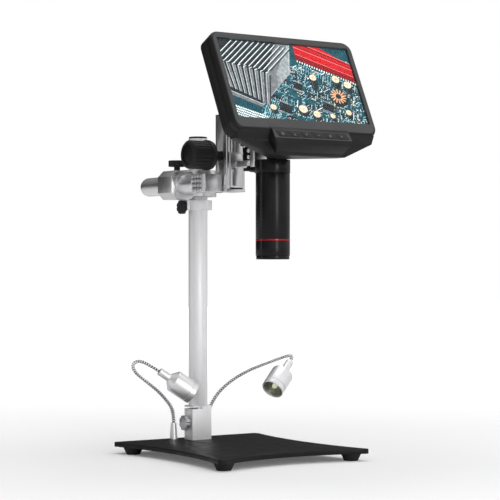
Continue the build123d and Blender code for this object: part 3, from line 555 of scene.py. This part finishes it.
# bent lamp arms
lampArm = {"spacing": 2.6, "core": 1.35, "ring": 1.55, "wire": 0.75, "smoothness": 12,
           "left": [(-21, 96, 17), (-21, 96, 24), (-25, 93.5, 34), (-33.5, 93.5, 44), (-43.5, 95.5, 54),
                    (-56, 99.5, 64), (-66, 101.5, 72.5), (-70.3, 98.5, 81), (-67, 89, 85.3)],
           "right": [(21, 96, 17), (21, 96, 24), (22, 88, 37.5), (26.5, 80, 50), (36, 70, 62), (50, 57, 73),
                     (66, 43.5, 81), (83.8, 31.6, 88.9)]}
lampHead = {"left": {"start": (-52.3, 73.4, 73.8), "aim": (0.78, -0.29, -0.555)},
            "right": {"start": (78.1, 23, 82), "aim": (-0.72, -0.28, -0.64)},
            "run": 8.0, "overlap": 0.5,        # straight end of the arm, and how far it goes in
            "neck": 4.2, "neckEnd": 13.0, "neckGroove": (4.0, 5.2, 0.35), "shoulderEnd": 18.0,
            "can": 11.8, "canGroove": (36.4, 37.7, 0.4), "mouth": 43.0, "bore": 10.6, "depth": 12.0,
            "edge": 0.6, "lip": 0.3, "gap": 0.05, "steps": 72}


def makeLampArm(side):
    start = Vector(lampHead[side]["start"])
    aim = Vector(lampHead[side]["aim"]).normalized()
    route = [Vector(p) for p in lampArm[side]]
    route += [start - aim * lampHead["run"], start + aim * lampHead["overlap"]]
    curve = bpy.data.curves.new(f"gooseneck_{side}_route", "CURVE")
    curve.dimensions = "3D"
    curve.resolution_u = lampArm["smoothness"]
    spline = curve.splines.new("NURBS")
    spline.points.add(len(route) - 1)
    for point, place in zip(spline.points, route):
        point.co = (*(place * mm), 1)
    spline.order_u = 3
    spline.use_endpoint_u = True
    arm = growWith(ringedTube, addObject(f"gooseneckArm_{side}", curve), {
        "Spacing": lampArm["spacing"] * mm, "Core Radius": lampArm["core"] * mm,
        "Ring Radius": lampArm["ring"] * mm, "Wire Radius": lampArm["wire"] * mm,
        "Core Painted Shade": finishes["paintedCoilGapShade"], "Finish": finishes["chrome"]})
    settle(arm, f"gooseneck_{side}")


def groove(radius, low, high, depth, slope=0.3):      # a turned groove in a profile
    return [(radius, low), (radius - depth, low + slope), (radius - depth, high - slope), (radius, high)]


def lampProfiles():
    neck, can, mouth, bore = (lampHead[size] for size in ("neck", "can", "mouth", "bore"))
    neckEnd, shoulderEnd, edge, lip = (lampHead[size] for size in ("neckEnd", "shoulderEnd", "edge", "lip"))
    bottom = mouth - lampHead["depth"]
    inside = bore - lampHead["gap"]
    body = [(0, 0), (neck - edge, 0), (neck, edge), *groove(neck, *lampHead["neckGroove"]),
            (neck, neckEnd - edge), (neck + 0.5, neckEnd), (neck + 1.5, neckEnd),
            (can - 1.2, shoulderEnd - 0.7), (can - 0.3, shoulderEnd), (can, shoulderEnd + 0.8),
            *groove(can, *lampHead["canGroove"]), (can, mouth - edge), (can - 0.5, mouth),
            (bore + lip, mouth), (bore, mouth - lip), (bore, bottom), (0, bottom)]
    bowl = [(inside, mouth - 3.2), (bore - 0.4, mouth - 3.2), (8.2, mouth - 6.4), (5.6, mouth - 8.6),
            (3.3, mouth - 10.0), (3.3, mouth - 10.4), (inside, mouth - 10.4), (inside, mouth - 3.2)]
    bulb = [(0, mouth - 11.2), (2.8, mouth - 11.2), (2.8, mouth - 10.2), (2.5, mouth - 10),
            (2.5, mouth - 5.6), (2.2, mouth - 4.5), (1.3, mouth - 3.7), (0, mouth - 3.4)]
    glass = [(0, mouth - 2.9), (bore - 0.1, mouth - 2.9), (bore - 0.1, mouth - 1.9),
             (bore - 1.2, mouth - 1.5), (6.0, mouth - 1.0), (3.0, mouth - 0.75), (0, mouth - 0.7)]
    return body, bowl, bulb, glass


def makeLampHead(side):
    place = aimAt(lampHead[side]["start"], lampHead[side]["aim"])
    steps = lampHead["steps"]
    body, bowl, bulb, glass = lampProfiles()
    for name, profile, count, smooth, node, finish, replaced in (
            ("lampBody", body, steps, 25, "lamp", "lampSilver", True),
            ("lampReflector", bowl, steps, 40, "lamp", "reflector", False),
            ("lampChip", bulb, 32, 40, "lamp_led", "ledYellow", False),
            ("lampLens", glass, steps, 40, "lamp_lens", "lensGlass", True)):
        piece = turned(f"{name}_{side}", profile, count, place, smooth)
        settle(piece, f"{node}_{side}", finishes[finish], replaced)


for side in ("left", "right"):
    makeLampArm(side)
    makeLampHead(side)
print("lamps made")


# round arm bar
armBar = {"x": -26.0, "z": 268.0, "spigotFront": 22.3, "front": 37.3, "tail": 147.0, "radius": 10.0,
          "spigot": 6.0, "edge": 0.4, "steps": 96, "domeSteps": 14}


def makeArmBar():
    radius, spigot, edge = armBar["radius"], armBar["spigot"], armBar["edge"]
    step = armBar["front"] - armBar["spigotFront"]
    length = armBar["tail"] - armBar["spigotFront"]
    turns = [math.pi / 2 * k / armBar["domeSteps"] for k in range(armBar["domeSteps"])]
    profile = [(0, 0), (spigot - edge, 0), (spigot, edge), (spigot, step), (radius - edge, step),
               (radius, step + edge)]
    profile += [(radius * math.cos(turn), length - radius + radius * math.sin(turn)) for turn in turns]
    profile += [(0, length)]
    place = aimAt((armBar["x"], armBar["spigotFront"], armBar["z"]), (0, 1, 0))
    settle(turned("armBar", profile, armBar["steps"], place), "arm_rod", finishes["brushedRod"])


makeArmBar()
print("arm bar made")


# knurled grip on the rail bracket
grip = {"x": -35.0, "y": (19.2, 36.4), "z": (260.2, 275.8), "plate": 0.3, "margin": 1.0, "pitch": 3.7,
        "stud": 2.5, "height": 1.3}
gripTurn = Matrix(((0, 0, -1), (-1, 0, 0), (0, 1, 0))).to_4x4()      # the plate faces the left side


def makeGrip():
    wide, tall = grip["y"][1] - grip["y"][0], grip["z"][1] - grip["z"][0]
    half = grip["plate"] / 2
    pad = growWith(studField, plate("bracketGrip", rectangle(wide / 2, tall / 2), -half, half), {
        "Width": (wide - 2 * grip["margin"]) * mm, "Height": (tall - 2 * grip["margin"]) * mm,
        "Columns": int(wide / grip["pitch"]), "Rows": int(tall / grip["pitch"]),
        "Stud Radius": grip["stud"] * mm, "Stud Height": grip["height"] * mm, "Sides": 4,
        "Turn": math.pi / 4, "Finish": finishes["gripSteel"]})
    centre = Vector((grip["x"] - half, sum(grip["y"]) / 2, sum(grip["z"]) / 2)) * mm
    pad.data.transform(Matrix.Translation(centre) @ gripTurn)
    settle(pad, "rail_bracket", replaced=False)


makeGrip()
print("bracket grip made")


# picture on the display
picture = {"at": (0, -95.2, 362.6), "lean": 64, "half": (77.1, 42.95), "back": -6.5, "top": -2.35,
           "layer": 0.02, "margin": 2.4, "seed": 5}
screenPlace = (Matrix.Translation(Vector(picture["at"]) * mm)
               @ Matrix.Rotation(math.radians(picture["lean"]), 4, "X"))
paints = {
    "glowTeal": ((0.006, 0.085, 0.11), (0.003, 0.03, 0.042)),
    "glowDeepTeal": ((0.003, 0.035, 0.05), (0.006, 0.06, 0.085)),
    "glowPale": ((0.3, 0.55, 0.58), (0.12, 0.32, 0.38)),
    "glowSilver": ((0.34, 0.37, 0.38), (0.16, 0.18, 0.19)),
    "glowMid": ((0.19, 0.2, 0.21), (0.09, 0.1, 0.11)),
    "glowGrey": ((0.1, 0.11, 0.115), (0.045, 0.05, 0.055)),
    "glowDark": ((0.006, 0.01, 0.012), (0.015, 0.022, 0.026)),
    "glowRed": ((0.5, 0.005, 0.012), (0.38, 0.004, 0.009)),
    "glowDeepRed": ((0.24, 0.002, 0.006), (0.17, 0.002, 0.004)),
    "glowPink": ((0.85, 0.28, 0.28), (0.75, 0.2, 0.2)),
    "glowCopper": ((0.5, 0.19, 0.05), (0.32, 0.1, 0.025)),
    "glowWhite": ((0.8, 0.84, 0.84), (0.5, 0.56, 0.57)),
    "glowCream": ((0.72, 0.66, 0.52), (0.5, 0.44, 0.32)),
    "glowGold": ((0.5, 0.4, 0.16), (0.34, 0.26, 0.1)),
}
for name, (first, second) in paints.items():
    finishes[name] = newFinish(name, first, second, rough=(0.3, 0.4), toneSpread=260, glow=0.9,
                               specular=0.2)
paintSlots = {name: index for index, name in enumerate(paints)}


class Sketch:

    def __init__(self):
        self.points = []
        self.faces = []
        self.slots = []

    def area(self, corners, paint, layer):
        inside = clipToFrame(corners)
        if len(inside) < 3:
            return
        height = picture["top"] + layer * picture["layer"]
        first = len(self.points)
        self.points += [(x, y, height) for x, y in inside]
        self.faces.append(tuple(range(first, first + len(inside))))
        self.slots.append(paintSlots[paint])

    def strip(self, start, end, width, paint, layer):
        along = Vector((end[0] - start[0], end[1] - start[1])).normalized() * (width / 2)
        side = Vector((-along.y, along.x))
        corners = ((start, -1), (end, -1), (end, 1), (start, 1))
        self.area([(at[0] + way * side.x, at[1] + way * side.y) for at, way in corners], paint, layer)

    def disc(self, centre, radius, paint, layer, squash=0.85, steps=24):
        turns = [2 * math.pi * k / steps for k in range(steps)]
        self.area([(centre[0] + radius * math.cos(turn), centre[1] + radius * squash * math.sin(turn))
                   for turn in turns], paint, layer)

    def tile(self, centre, size, turn, paint, layer):
        cosine, sine = math.cos(turn), math.sin(turn)
        self.area([(centre[0] + x * cosine - y * sine, centre[1] + x * sine + y * cosine)
                   for x, y in rectangle(size[0] / 2, size[1] / 2)], paint, layer)


def clipToFrame(corners):               # cuts an area off at the picture's edges
    halfX, halfY = picture["half"]
    for axis, limit, keepBelow in ((0, halfX, True), (0, -halfX, False), (1, halfY, True),
                                   (1, -halfY, False)):
        kept = []
        for here, there in zip(corners, corners[1:] + corners[:1]):
            hereIn = (here[axis] <= limit) == keepBelow or here[axis] == limit
            thereIn = (there[axis] <= limit) == keepBelow or there[axis] == limit
            if hereIn:
                kept.append(here)
            if hereIn != thereIn:
                share = (limit - here[axis]) / (there[axis] - here[axis])
                kept.append((here[0] + share * (there[0] - here[0]),
                             here[1] + share * (there[1] - here[1])))
        corners = kept
        if not corners:
            break
    return corners


def shifted(point, right, up):
    return point[0] + right, point[1] + up


# the drawing is in mm from the middle of the display, and a higher layer lies on top
heatsink = {"upperFins": 12, "upperStart": (-88, 20.5), "upperStep": (5.5, -0.85), "upperReach": (33, 28),
            "lowerFins": 9, "lowerTop": (-80.5, 17.0), "topStep": (6.2, -1.25),
            "lowerFoot": (-77, -10.0), "footStep": (4.7, -2.0)}


def alongRow(start, step, number):
    return shifted(start, step[0] * number, step[1] * number)


def sketchHeatsink(sketch):
    sketch.area([(-80, 46), (9, 46), (-1, 10), (-45, -30), (-80, -17)], "glowDark", 12)
    sketch.area([(-9, 46), (9, 46), (-1, 10), (-45, -30), (-42, -13), (-27, 12)], "glowMid", 13)
    sketch.area([(2, 40), (8, 44), (-1, 10), (-20, -7), (-18, 8)], "glowSilver", 14)
    sketch.strip((7.5, 44), (-2, 10.4), 0.8, "glowWhite", 14)
    sketch.strip((-2, 10.4), (-44, -28.5), 0.8, "glowSilver", 14)
    for fin in range(heatsink["upperFins"]):
        low = alongRow(heatsink["upperStart"], heatsink["upperStep"], fin)
        high = shifted(low, *heatsink["upperReach"])
        sketch.area([low, shifted(low, 3.6, -0.6), shifted(high, 3.6, 0), high], "glowDark", 15)
        sketch.area([shifted(low, 0.9, 0), shifted(low, 2.4, -0.3), shifted(high, 2.4, 0),
                     shifted(high, 0.9, 0)], "glowGrey", 16)
        sketch.strip(shifted(low, 0.8, 0), shifted(high, 0.8, 0), 0.75, "glowWhite", 17)
    for fin in range(heatsink["lowerFins"]):
        top = alongRow(heatsink["lowerTop"], heatsink["topStep"], fin)
        foot = alongRow(heatsink["lowerFoot"], heatsink["footStep"], fin)
        sketch.area([top, shifted(top, 5.6, -1.0), shifted(foot, 4.4, -1.8), foot], "glowDark", 18)
        sketch.area([shifted(top, 1.0, 2.0), shifted(top, 3.8, 0.4), shifted(foot, 3.0, -1.0),
                     shifted(foot, 1.2, -0.2)], "glowMid", 19)
        sketch.strip(shifted(top, 0.8, 1.8), shifted(foot, 1.1, -0.2), 0.5, "glowWhite", 20)
        sketch.strip(shifted(top, 3.9, 0.6), shifted(foot, 3.1, -0.8), 0.5, "glowSilver", 20)
        sketch.strip(shifted(top, 0.8, 1.8), shifted(top, 4.2, 2.9), 0.7, "glowWhite", 20)
    sketch.area([(-80, -14), (-44, -28), (-45, -31), (-80, -18)], "glowMid", 21)
    sketch.strip((-80, -13.5), (-44, -27.5), 0.5, "glowWhite", 22)
    sketch.area([(-80, -18), (-45, -31), (-49, -36), (-80, -25)], "glowDeepTeal", 21)


boardTurn = -0.33                       # the way that the board's parts lie
slot = {"pins": 26, "left": 12, "pitch": 2.7, "slope": 0.335}


def sketchSlot(sketch):
    sketch.area([(12, 46), (11, 27), (80, 4), (80, 23), (38, 46)], "glowRed", 24)
    sketch.area([(11, 33), (80, 10), (80, 4), (11, 27)], "glowDeepRed", 25)
    for start, end, width, shade, layer in (
            ((13, 43), (80, 20), 1.0, "glowDeepRed", 25), ((12, 41.4), (80, 18.2), 0.5, "glowPink", 26),
            ((22, 44.5), (80, 24), 1.6, "glowDeepRed", 25), ((26, 44.6), (80, 25.6), 0.5, "glowPink", 26),
            ((12, 33.2), (80, 10.2), 0.4, "glowPink", 26)):
        sketch.strip(start, end, width, shade, layer)
    sketch.area([(11, 28), (80, 5), (80, 1.5), (11, 24.5)], "glowDark", 23)
    for pin in range(slot["pins"]):
        x = slot["left"] + slot["pitch"] * pin
        fall = slot["slope"] * (x - slot["left"])
        sketch.tile((x, 24.8 - fall), (1.3, 2.2), boardTurn, "glowWhite", 26)
        sketch.tile((x + 0.9, 21.0 - fall), (1.0, 1.6), boardTurn, "glowPale", 8)
        sketch.strip((x, 19 - fall), (x - 1.4, 14.5 - fall), 0.5, "glowPale", 8)


board = {"tracks": 420, "patches": 70, "parts": 360, "hatch": (15, 4), "rays": 9,
         "partSizes": ((2.6, 1.1), (1.8, 0.9), (3.2, 1.5)), "solder": 1.1}


def sketchBoard(sketch, dice):
    ways = (boardTurn, boardTurn + math.pi / 2, boardTurn + math.pi / 4)
    for track in range(board["tracks"]):
        x, y = dice.uniform(-50, 80), dice.uniform(-46, 30)
        turn = dice.choice(ways)
        length = dice.uniform(2, 9)
        end = (x + length * math.cos(turn), y + length * math.sin(turn))
        sketch.strip((x, y), end, dice.choice((0.45, 0.6, 0.9)),
                     dice.choice(("glowPale", "glowPale", "glowWhite", "glowDark")), 3)
    for patch in range(board["patches"]):
        place = (dice.uniform(-44, 76), dice.uniform(-42, 16))
        size = (dice.uniform(5, 11), dice.uniform(3, 7))
        sketch.tile(place, size, boardTurn, dice.choice(("glowDark", "glowDeepTeal")), 2)
    for part in range(board["parts"]):
        place = (dice.uniform(-40, 78), dice.uniform(-43, 20))
        turn = dice.choice(ways[:2])
        size = dice.choice(board["partSizes"])
        sketch.tile(place, (size[0] + board["solder"], size[1]), turn, "glowWhite", 5)
        sketch.tile(place, size, turn, dice.choice(("glowDark", "glowDark", "glowGold", "glowGrey",
                                                    "glowDeepTeal")), 6)
    columns, rows = board["hatch"]
    for column in range(columns):
        for row in range(rows):
            place = (-78 + 2.5 * column + 0.9 * row, -30.5 - 3.1 * row - 0.75 * column)
            sketch.tile(place, (1.5, 2.4), boardTurn + 0.9, "glowWhite", 7)
    for ray in range(board["rays"]):
        sketch.strip((-52 + 2.5 * ray, -46), (-34 + 2.5 * ray, -20), 0.45, "glowPale", 4)


chips = {"pins": 9, "pinSize": (0.7, 2.0), "pinOut": 0.8,
         "boxes": ((-18, -30, 14, 10), (34, -26, 13, 9), (4, -4, 10, 8))}      # x, y, width, height


def sketchChips(sketch):
    across = Vector((math.cos(boardTurn), math.sin(boardTurn)))
    up = Vector((-math.sin(boardTurn), math.cos(boardTurn)))
    middle = (chips["pins"] - 1) // 2
    for x, y, wide, tall in chips["boxes"]:
        centre = Vector((x, y))
        for pin in range(chips["pins"]):
            for side in (-1, 1):
                place = centre + across * ((pin - middle) * wide / chips["pins"])
                place = place + up * (side * (tall / 2 + chips["pinOut"]))
                sketch.tile(tuple(place), chips["pinSize"], boardTurn, "glowSilver", 7)
        sketch.tile((x, y), (wide, tall), boardTurn, "glowDark", 8)
        sketch.disc(tuple(centre - across * wide * 0.36 + up * tall * 0.25), 0.7, "glowGrey", 9)


cans = ((25, 7, 4.6, 12), (53, 7, 5.4, 9), (66, 1.5, 5.4, 9), (2, -30, 5.8, 7), (17, -35, 5.0, 6),
        (57, -31, 4.0, 6), (-33, -30, 4.2, 6), (36, -36, 3.6, 5))            # x, y, radius, height


def sketchCans(sketch):
    for x, y, radius, tall in cans:
        sketch.area([(x - radius, y), (x + radius, y), (x + radius - 0.4, y - tall), (x, y - tall - 2),
                     (x - radius + 0.4, y - tall)], "glowDark", 27)
        sketch.strip((x - radius * 0.55, y), (x - radius * 0.5, y - tall), 0.8, "glowGrey", 28)
        sketch.disc((x, y), radius, "glowGrey", 29)
        sketch.disc((x, y), radius * 0.86, "glowCream", 30)
        sketch.strip((x - radius * 0.7, y + 0.5), (x + radius * 0.7, y - 0.5), 0.5, "glowGold", 31)
        sketch.strip((x - 0.6, y - radius * 0.6), (x + 0.6, y + radius * 0.6), 0.5, "glowGold", 31)


coil = {"at": (50, -13), "turns": 14, "inner": (3.4, 2.9), "outer": (9.6, 8.0), "skew": 0.2, "hub": 3.2,
        "shadow": (1.2, -2.2), "shadowRadius": 10.6}


def sketchCoil(sketch):
    centre = Vector(coil["at"])
    sketch.disc(tuple(centre + Vector(coil["shadow"])), coil["shadowRadius"], "glowDark", 32)
    for number in range(coil["turns"]):
        angle = 2 * math.pi * number / coil["turns"]
        ends = []
        for (wide, tall), turn in ((coil["inner"], angle), (coil["outer"], angle + coil["skew"])):
            ends.append(tuple(centre + Vector((wide * math.cos(turn), tall * math.sin(turn)))))
        sketch.strip(*ends, 1.9, "glowCopper", 33)
        sketch.strip(*ends, 0.6, "glowCream", 34)
    sketch.disc(tuple(centre), coil["hub"], "glowDark", 35)


def makePicture():
    sketch = Sketch()
    sketch.area(rectangle(*picture["half"]), "glowTeal", 1)
    dice = random.Random(picture["seed"])
    sketchBoard(sketch, dice)
    for draw in (sketchChips, sketchHeatsink, sketchSlot, sketchCans, sketchCoil):
        draw(sketch)
    rim = rectangle(*(half + picture["margin"] for half in picture["half"]))
    points, faces = plateShape(rim, picture["back"], picture["top"])
    first = len(sketch.points)
    sketch.points += points
    sketch.faces += [tuple(first + corner for corner in face) for face in faces]
    sketch.slots += [paintSlots["glowDark"]] * len(faces)
    mesh = bpy.data.meshes.new("displayPicture")
    mesh.from_pydata([Vector(p) * mm for p in sketch.points], [], sketch.faces)
    for name in paints:
        mesh.materials.append(finishes[name])
    mesh.polygons.foreach_set("material_index", sketch.slots)
    mesh.transform(screenPlace)
    settle(addObject("displayPicture", mesh), "lcd_panel")


makePicture()
print("display picture made")


# vent and screws on the head's back, and a mark on each button
headBack = {"deep": -20.0, "ventAt": (0, 31), "vent": (76.0, 17.0), "recess": (-0.3, 0.12), "slats": 24,
            "slat": (1.3, 15.0, 1.0), "slatMargin": 2.0, "slatRise": 0.45, "screwAt": (0, 17.5),
            "screwSpan": (150.0, 52.0), "screwRadius": 2.9, "screwTaper": 0.85, "screwHeight": 0.7,
            "screwRise": -0.05, "screwSteps": 28}
buttonMark = {"pitch": 14.0, "place": (-125.2, 308.2), "lean": 59.04, "span": (0.05, 0.18), "reach": 1.5}


def backPlace(at, rise=0.0):
    start = Matrix.Translation(Vector((*at, headBack["deep"])) * mm)
    lift = Matrix.Translation((0, 0, rise * mm))
    return screenPlace @ start @ Matrix.Rotation(math.pi, 4, "Y") @ lift


def makeVent():
    wide, tall = headBack["vent"]
    recess = plate("ventRecess", rectangle(wide / 2, tall / 2), *headBack["recess"],
                   backPlace(headBack["ventAt"]))
    settle(recess, "rear_shell", finishes["capBlack"], replaced=False)
    slats = growWith(slatField, addObject("ventSlats", bpy.data.meshes.new("ventSlats")), {
        "Width": (wide - headBack["slatMargin"]) * mm, "Slats": headBack["slats"],
        "Slat": Vector(headBack["slat"]) * mm, "Finish": finishes["shellBlack"]})
    slats.data.transform(backPlace(headBack["ventAt"], headBack["slatRise"]))
    settle(slats, "rear_shell", replaced=False)


def makeShellScrews():
    radius = headBack["screwRadius"] * mm
    screws = growWith(studField, addObject("shellScrews", bpy.data.meshes.new("shellScrews")), {
        "Width": headBack["screwSpan"][0] * mm, "Height": headBack["screwSpan"][1] * mm, "Columns": 2,
        "Rows": 2, "Stud Radius": radius, "Stud Tip": headBack["screwTaper"] * radius,
        "Stud Height": headBack["screwHeight"] * mm, "Sides": headBack["screwSteps"],
        "Finish": finishes["darkSteel"]})
    screws.data.transform(backPlace(headBack["screwAt"], headBack["screwRise"]))
    smoothByAngle(screws.data)
    settle(screws, "rear_shell", replaced=False)


def markShapes(reach):
    up = [(-reach, -reach), (reach, -reach), (0, reach)]
    down = [(-reach, reach), (0, -reach), (reach, reach)]
    play = [(-0.8 * reach, -reach), (reach, 0), (-0.8 * reach, reach)]
    ring = [(reach * math.cos(math.pi * k / 8), reach * math.sin(math.pi * k / 8)) for k in range(16)]
    return rectangle(reach, reach), up, down, rectangle(reach, 0.3 * reach), ring, play


def makeButtonMarks():
    lean = Matrix.Rotation(math.radians(buttonMark["lean"]), 4, "X")
    shapes = markShapes(buttonMark["reach"])
    for index, shape in enumerate(shapes):
        x = (index - (len(shapes) - 1) / 2) * buttonMark["pitch"]
        place = Matrix.Translation(Vector((x, *buttonMark["place"])) * mm) @ lean
        mark = plate(f"buttonMark_{index + 1}", shape, *buttonMark["span"], place)
        settle(mark, f"button_{index + 1}", finishes["printGrey"], replaced=False)


makeVent()
makeShellScrews()
makeButtonMarks()
print("head details made")


# floor, lights and camera
floor = {"height": -12.0, "size": 6.0, "fade": (0.2, 2.4, 0.12, 1.0), "glow": 0.3,
         "colour": (0.93, 0.93, 0.935), "second": (0.91, 0.91, 0.915)}
room = {"bright": (0.3, -0.9, 0.15), "side": (-0.75, 0.9, 0.02, 1.0), "above": (0.15, 1.0, 0.0, 0.5),
        "backdrop": (1.0, 1.0, 1.0), "backdropGlow": 1.0}
lights = {
    "frontStrip": {"place": (-0.16, -1.6, 0.35), "target": (0, 0, 0.25), "size": (0.3, 1.3), "power": 8},
    "leftStrip": {"place": (-1.4, 0.8, 0.35), "target": (0, 0, 0.25), "size": (0.22, 1.2), "power": 2.2},
    "topLight": {"place": (0.15, 0.1, 1.8), "target": (0, 0, 0), "size": (1.5, 1.5), "power": 10},
}
view = {"place": (-0.9611, -1.4429, 0.179), "look": (0.559, 0.829, 0.0), "lens": 122.4, "sensor": 36.0,
        "shift": 0.04, "clip": (0.05, 30)}


def makeFloor():
    mesh = bpy.data.meshes.new("floor")
    corners = [(x, y, floor["height"] * mm) for x, y in rectangle(floor["size"], floor["size"])]
    mesh.from_pydata(corners, [], [(0, 1, 2, 3)])
    ground = addObject("floor", mesh)
    dress(ground, newFinish("paleFloor", floor["colour"], floor["second"], rough=(0.6, 0.7), toneSpread=3,
                            grainDepth=0.00001, glow=floor["glow"]))
    tree = ground.data.materials[0].node_tree
    place = tree.nodes.new("ShaderNodeTexCoord")
    path = tree.nodes.new("ShaderNodeLightPath")
    reach = mathNode(tree, "LENGTH", place.outputs["Object"], kind="ShaderNodeVectorMath")
    fade = rangeNode(tree, reach.outputs["Value"], floor["fade"])
    # the glow runs into the backdrop, and lights nothing
    seen = mathNode(tree, "MULTIPLY", fade.outputs["Result"], path.outputs["Is Camera Ray"])
    tree.links.new(seen.outputs[0], tree.nodes["Principled BSDF"].inputs["Emission Strength"])


def softStudio():
    world = bpy.data.worlds.new("studio")
    world.use_nodes = True
    tree = world.node_tree
    link = tree.links.new
    sky = tree.nodes["Background"]
    sky.inputs["Color"].default_value = (1.0, 1.0, 1.0, 1)
    backdrop = tree.nodes.new("ShaderNodeBackground")
    setInputs(backdrop, {"Color": (*room["backdrop"], 1), "Strength": room["backdropGlow"]})
    toward = tree.nodes.new("ShaderNodeTexCoord")
    facing = mathNode(tree, "DOT_PRODUCT", toward.outputs["Generated"], kind="ShaderNodeVectorMath")
    facing.inputs[1].default_value = Vector(room["bright"]).normalized()
    side = rangeNode(tree, facing.outputs["Value"], room["side"])
    side.interpolation_type = "SMOOTHSTEP"
    split = tree.nodes.new("ShaderNodeSeparateXYZ")
    link(toward.outputs["Generated"], split.inputs[0])
    above = rangeNode(tree, split.outputs["Z"], room["above"])
    brighter = mathNode(tree, "MAXIMUM", side.outputs["Result"], above.outputs["Result"])
    path = tree.nodes.new("ShaderNodeLightPath")
    choose = tree.nodes.new("ShaderNodeMixShader")
    link(brighter.outputs[0], sky.inputs["Strength"])
    link(path.outputs["Is Camera Ray"], choose.inputs["Fac"])
    link(sky.outputs[0], choose.inputs[1])
    link(backdrop.outputs[0], choose.inputs[2])
    link(choose.outputs[0], tree.nodes["World Output"].inputs["Surface"])
    bpy.context.scene.world = world
    bpy.context.scene.view_settings.view_transform = "Standard"


def areaLight(name, place, target, size, power):
    light = bpy.data.lights.new(name, "AREA")
    light.shape = "RECTANGLE"
    light.size, light.size_y = size
    light.energy = power
    lamp = addObject(name, light)
    lamp.location = place
    lamp.rotation_euler = (Vector(target) - Vector(place)).to_track_quat("-Z", "Y").to_euler()


def placeCamera():
    lens = bpy.data.cameras.new("view")
    lens.lens = view["lens"]
    lens.sensor_width = view["sensor"]
    lens.shift_y = view["shift"]
    lens.clip_start, lens.clip_end = view["clip"]
    camera = addObject("view", lens)
    camera.location = view["place"]
    camera.rotation_euler = Vector(view["look"]).to_track_quat("-Z", "Y").to_euler()
    bpy.context.scene.camera = camera


makeFloor()
softStudio()
for name, light in lights.items():
    areaLight(name, **light)
placeCamera()
print("studio ready")
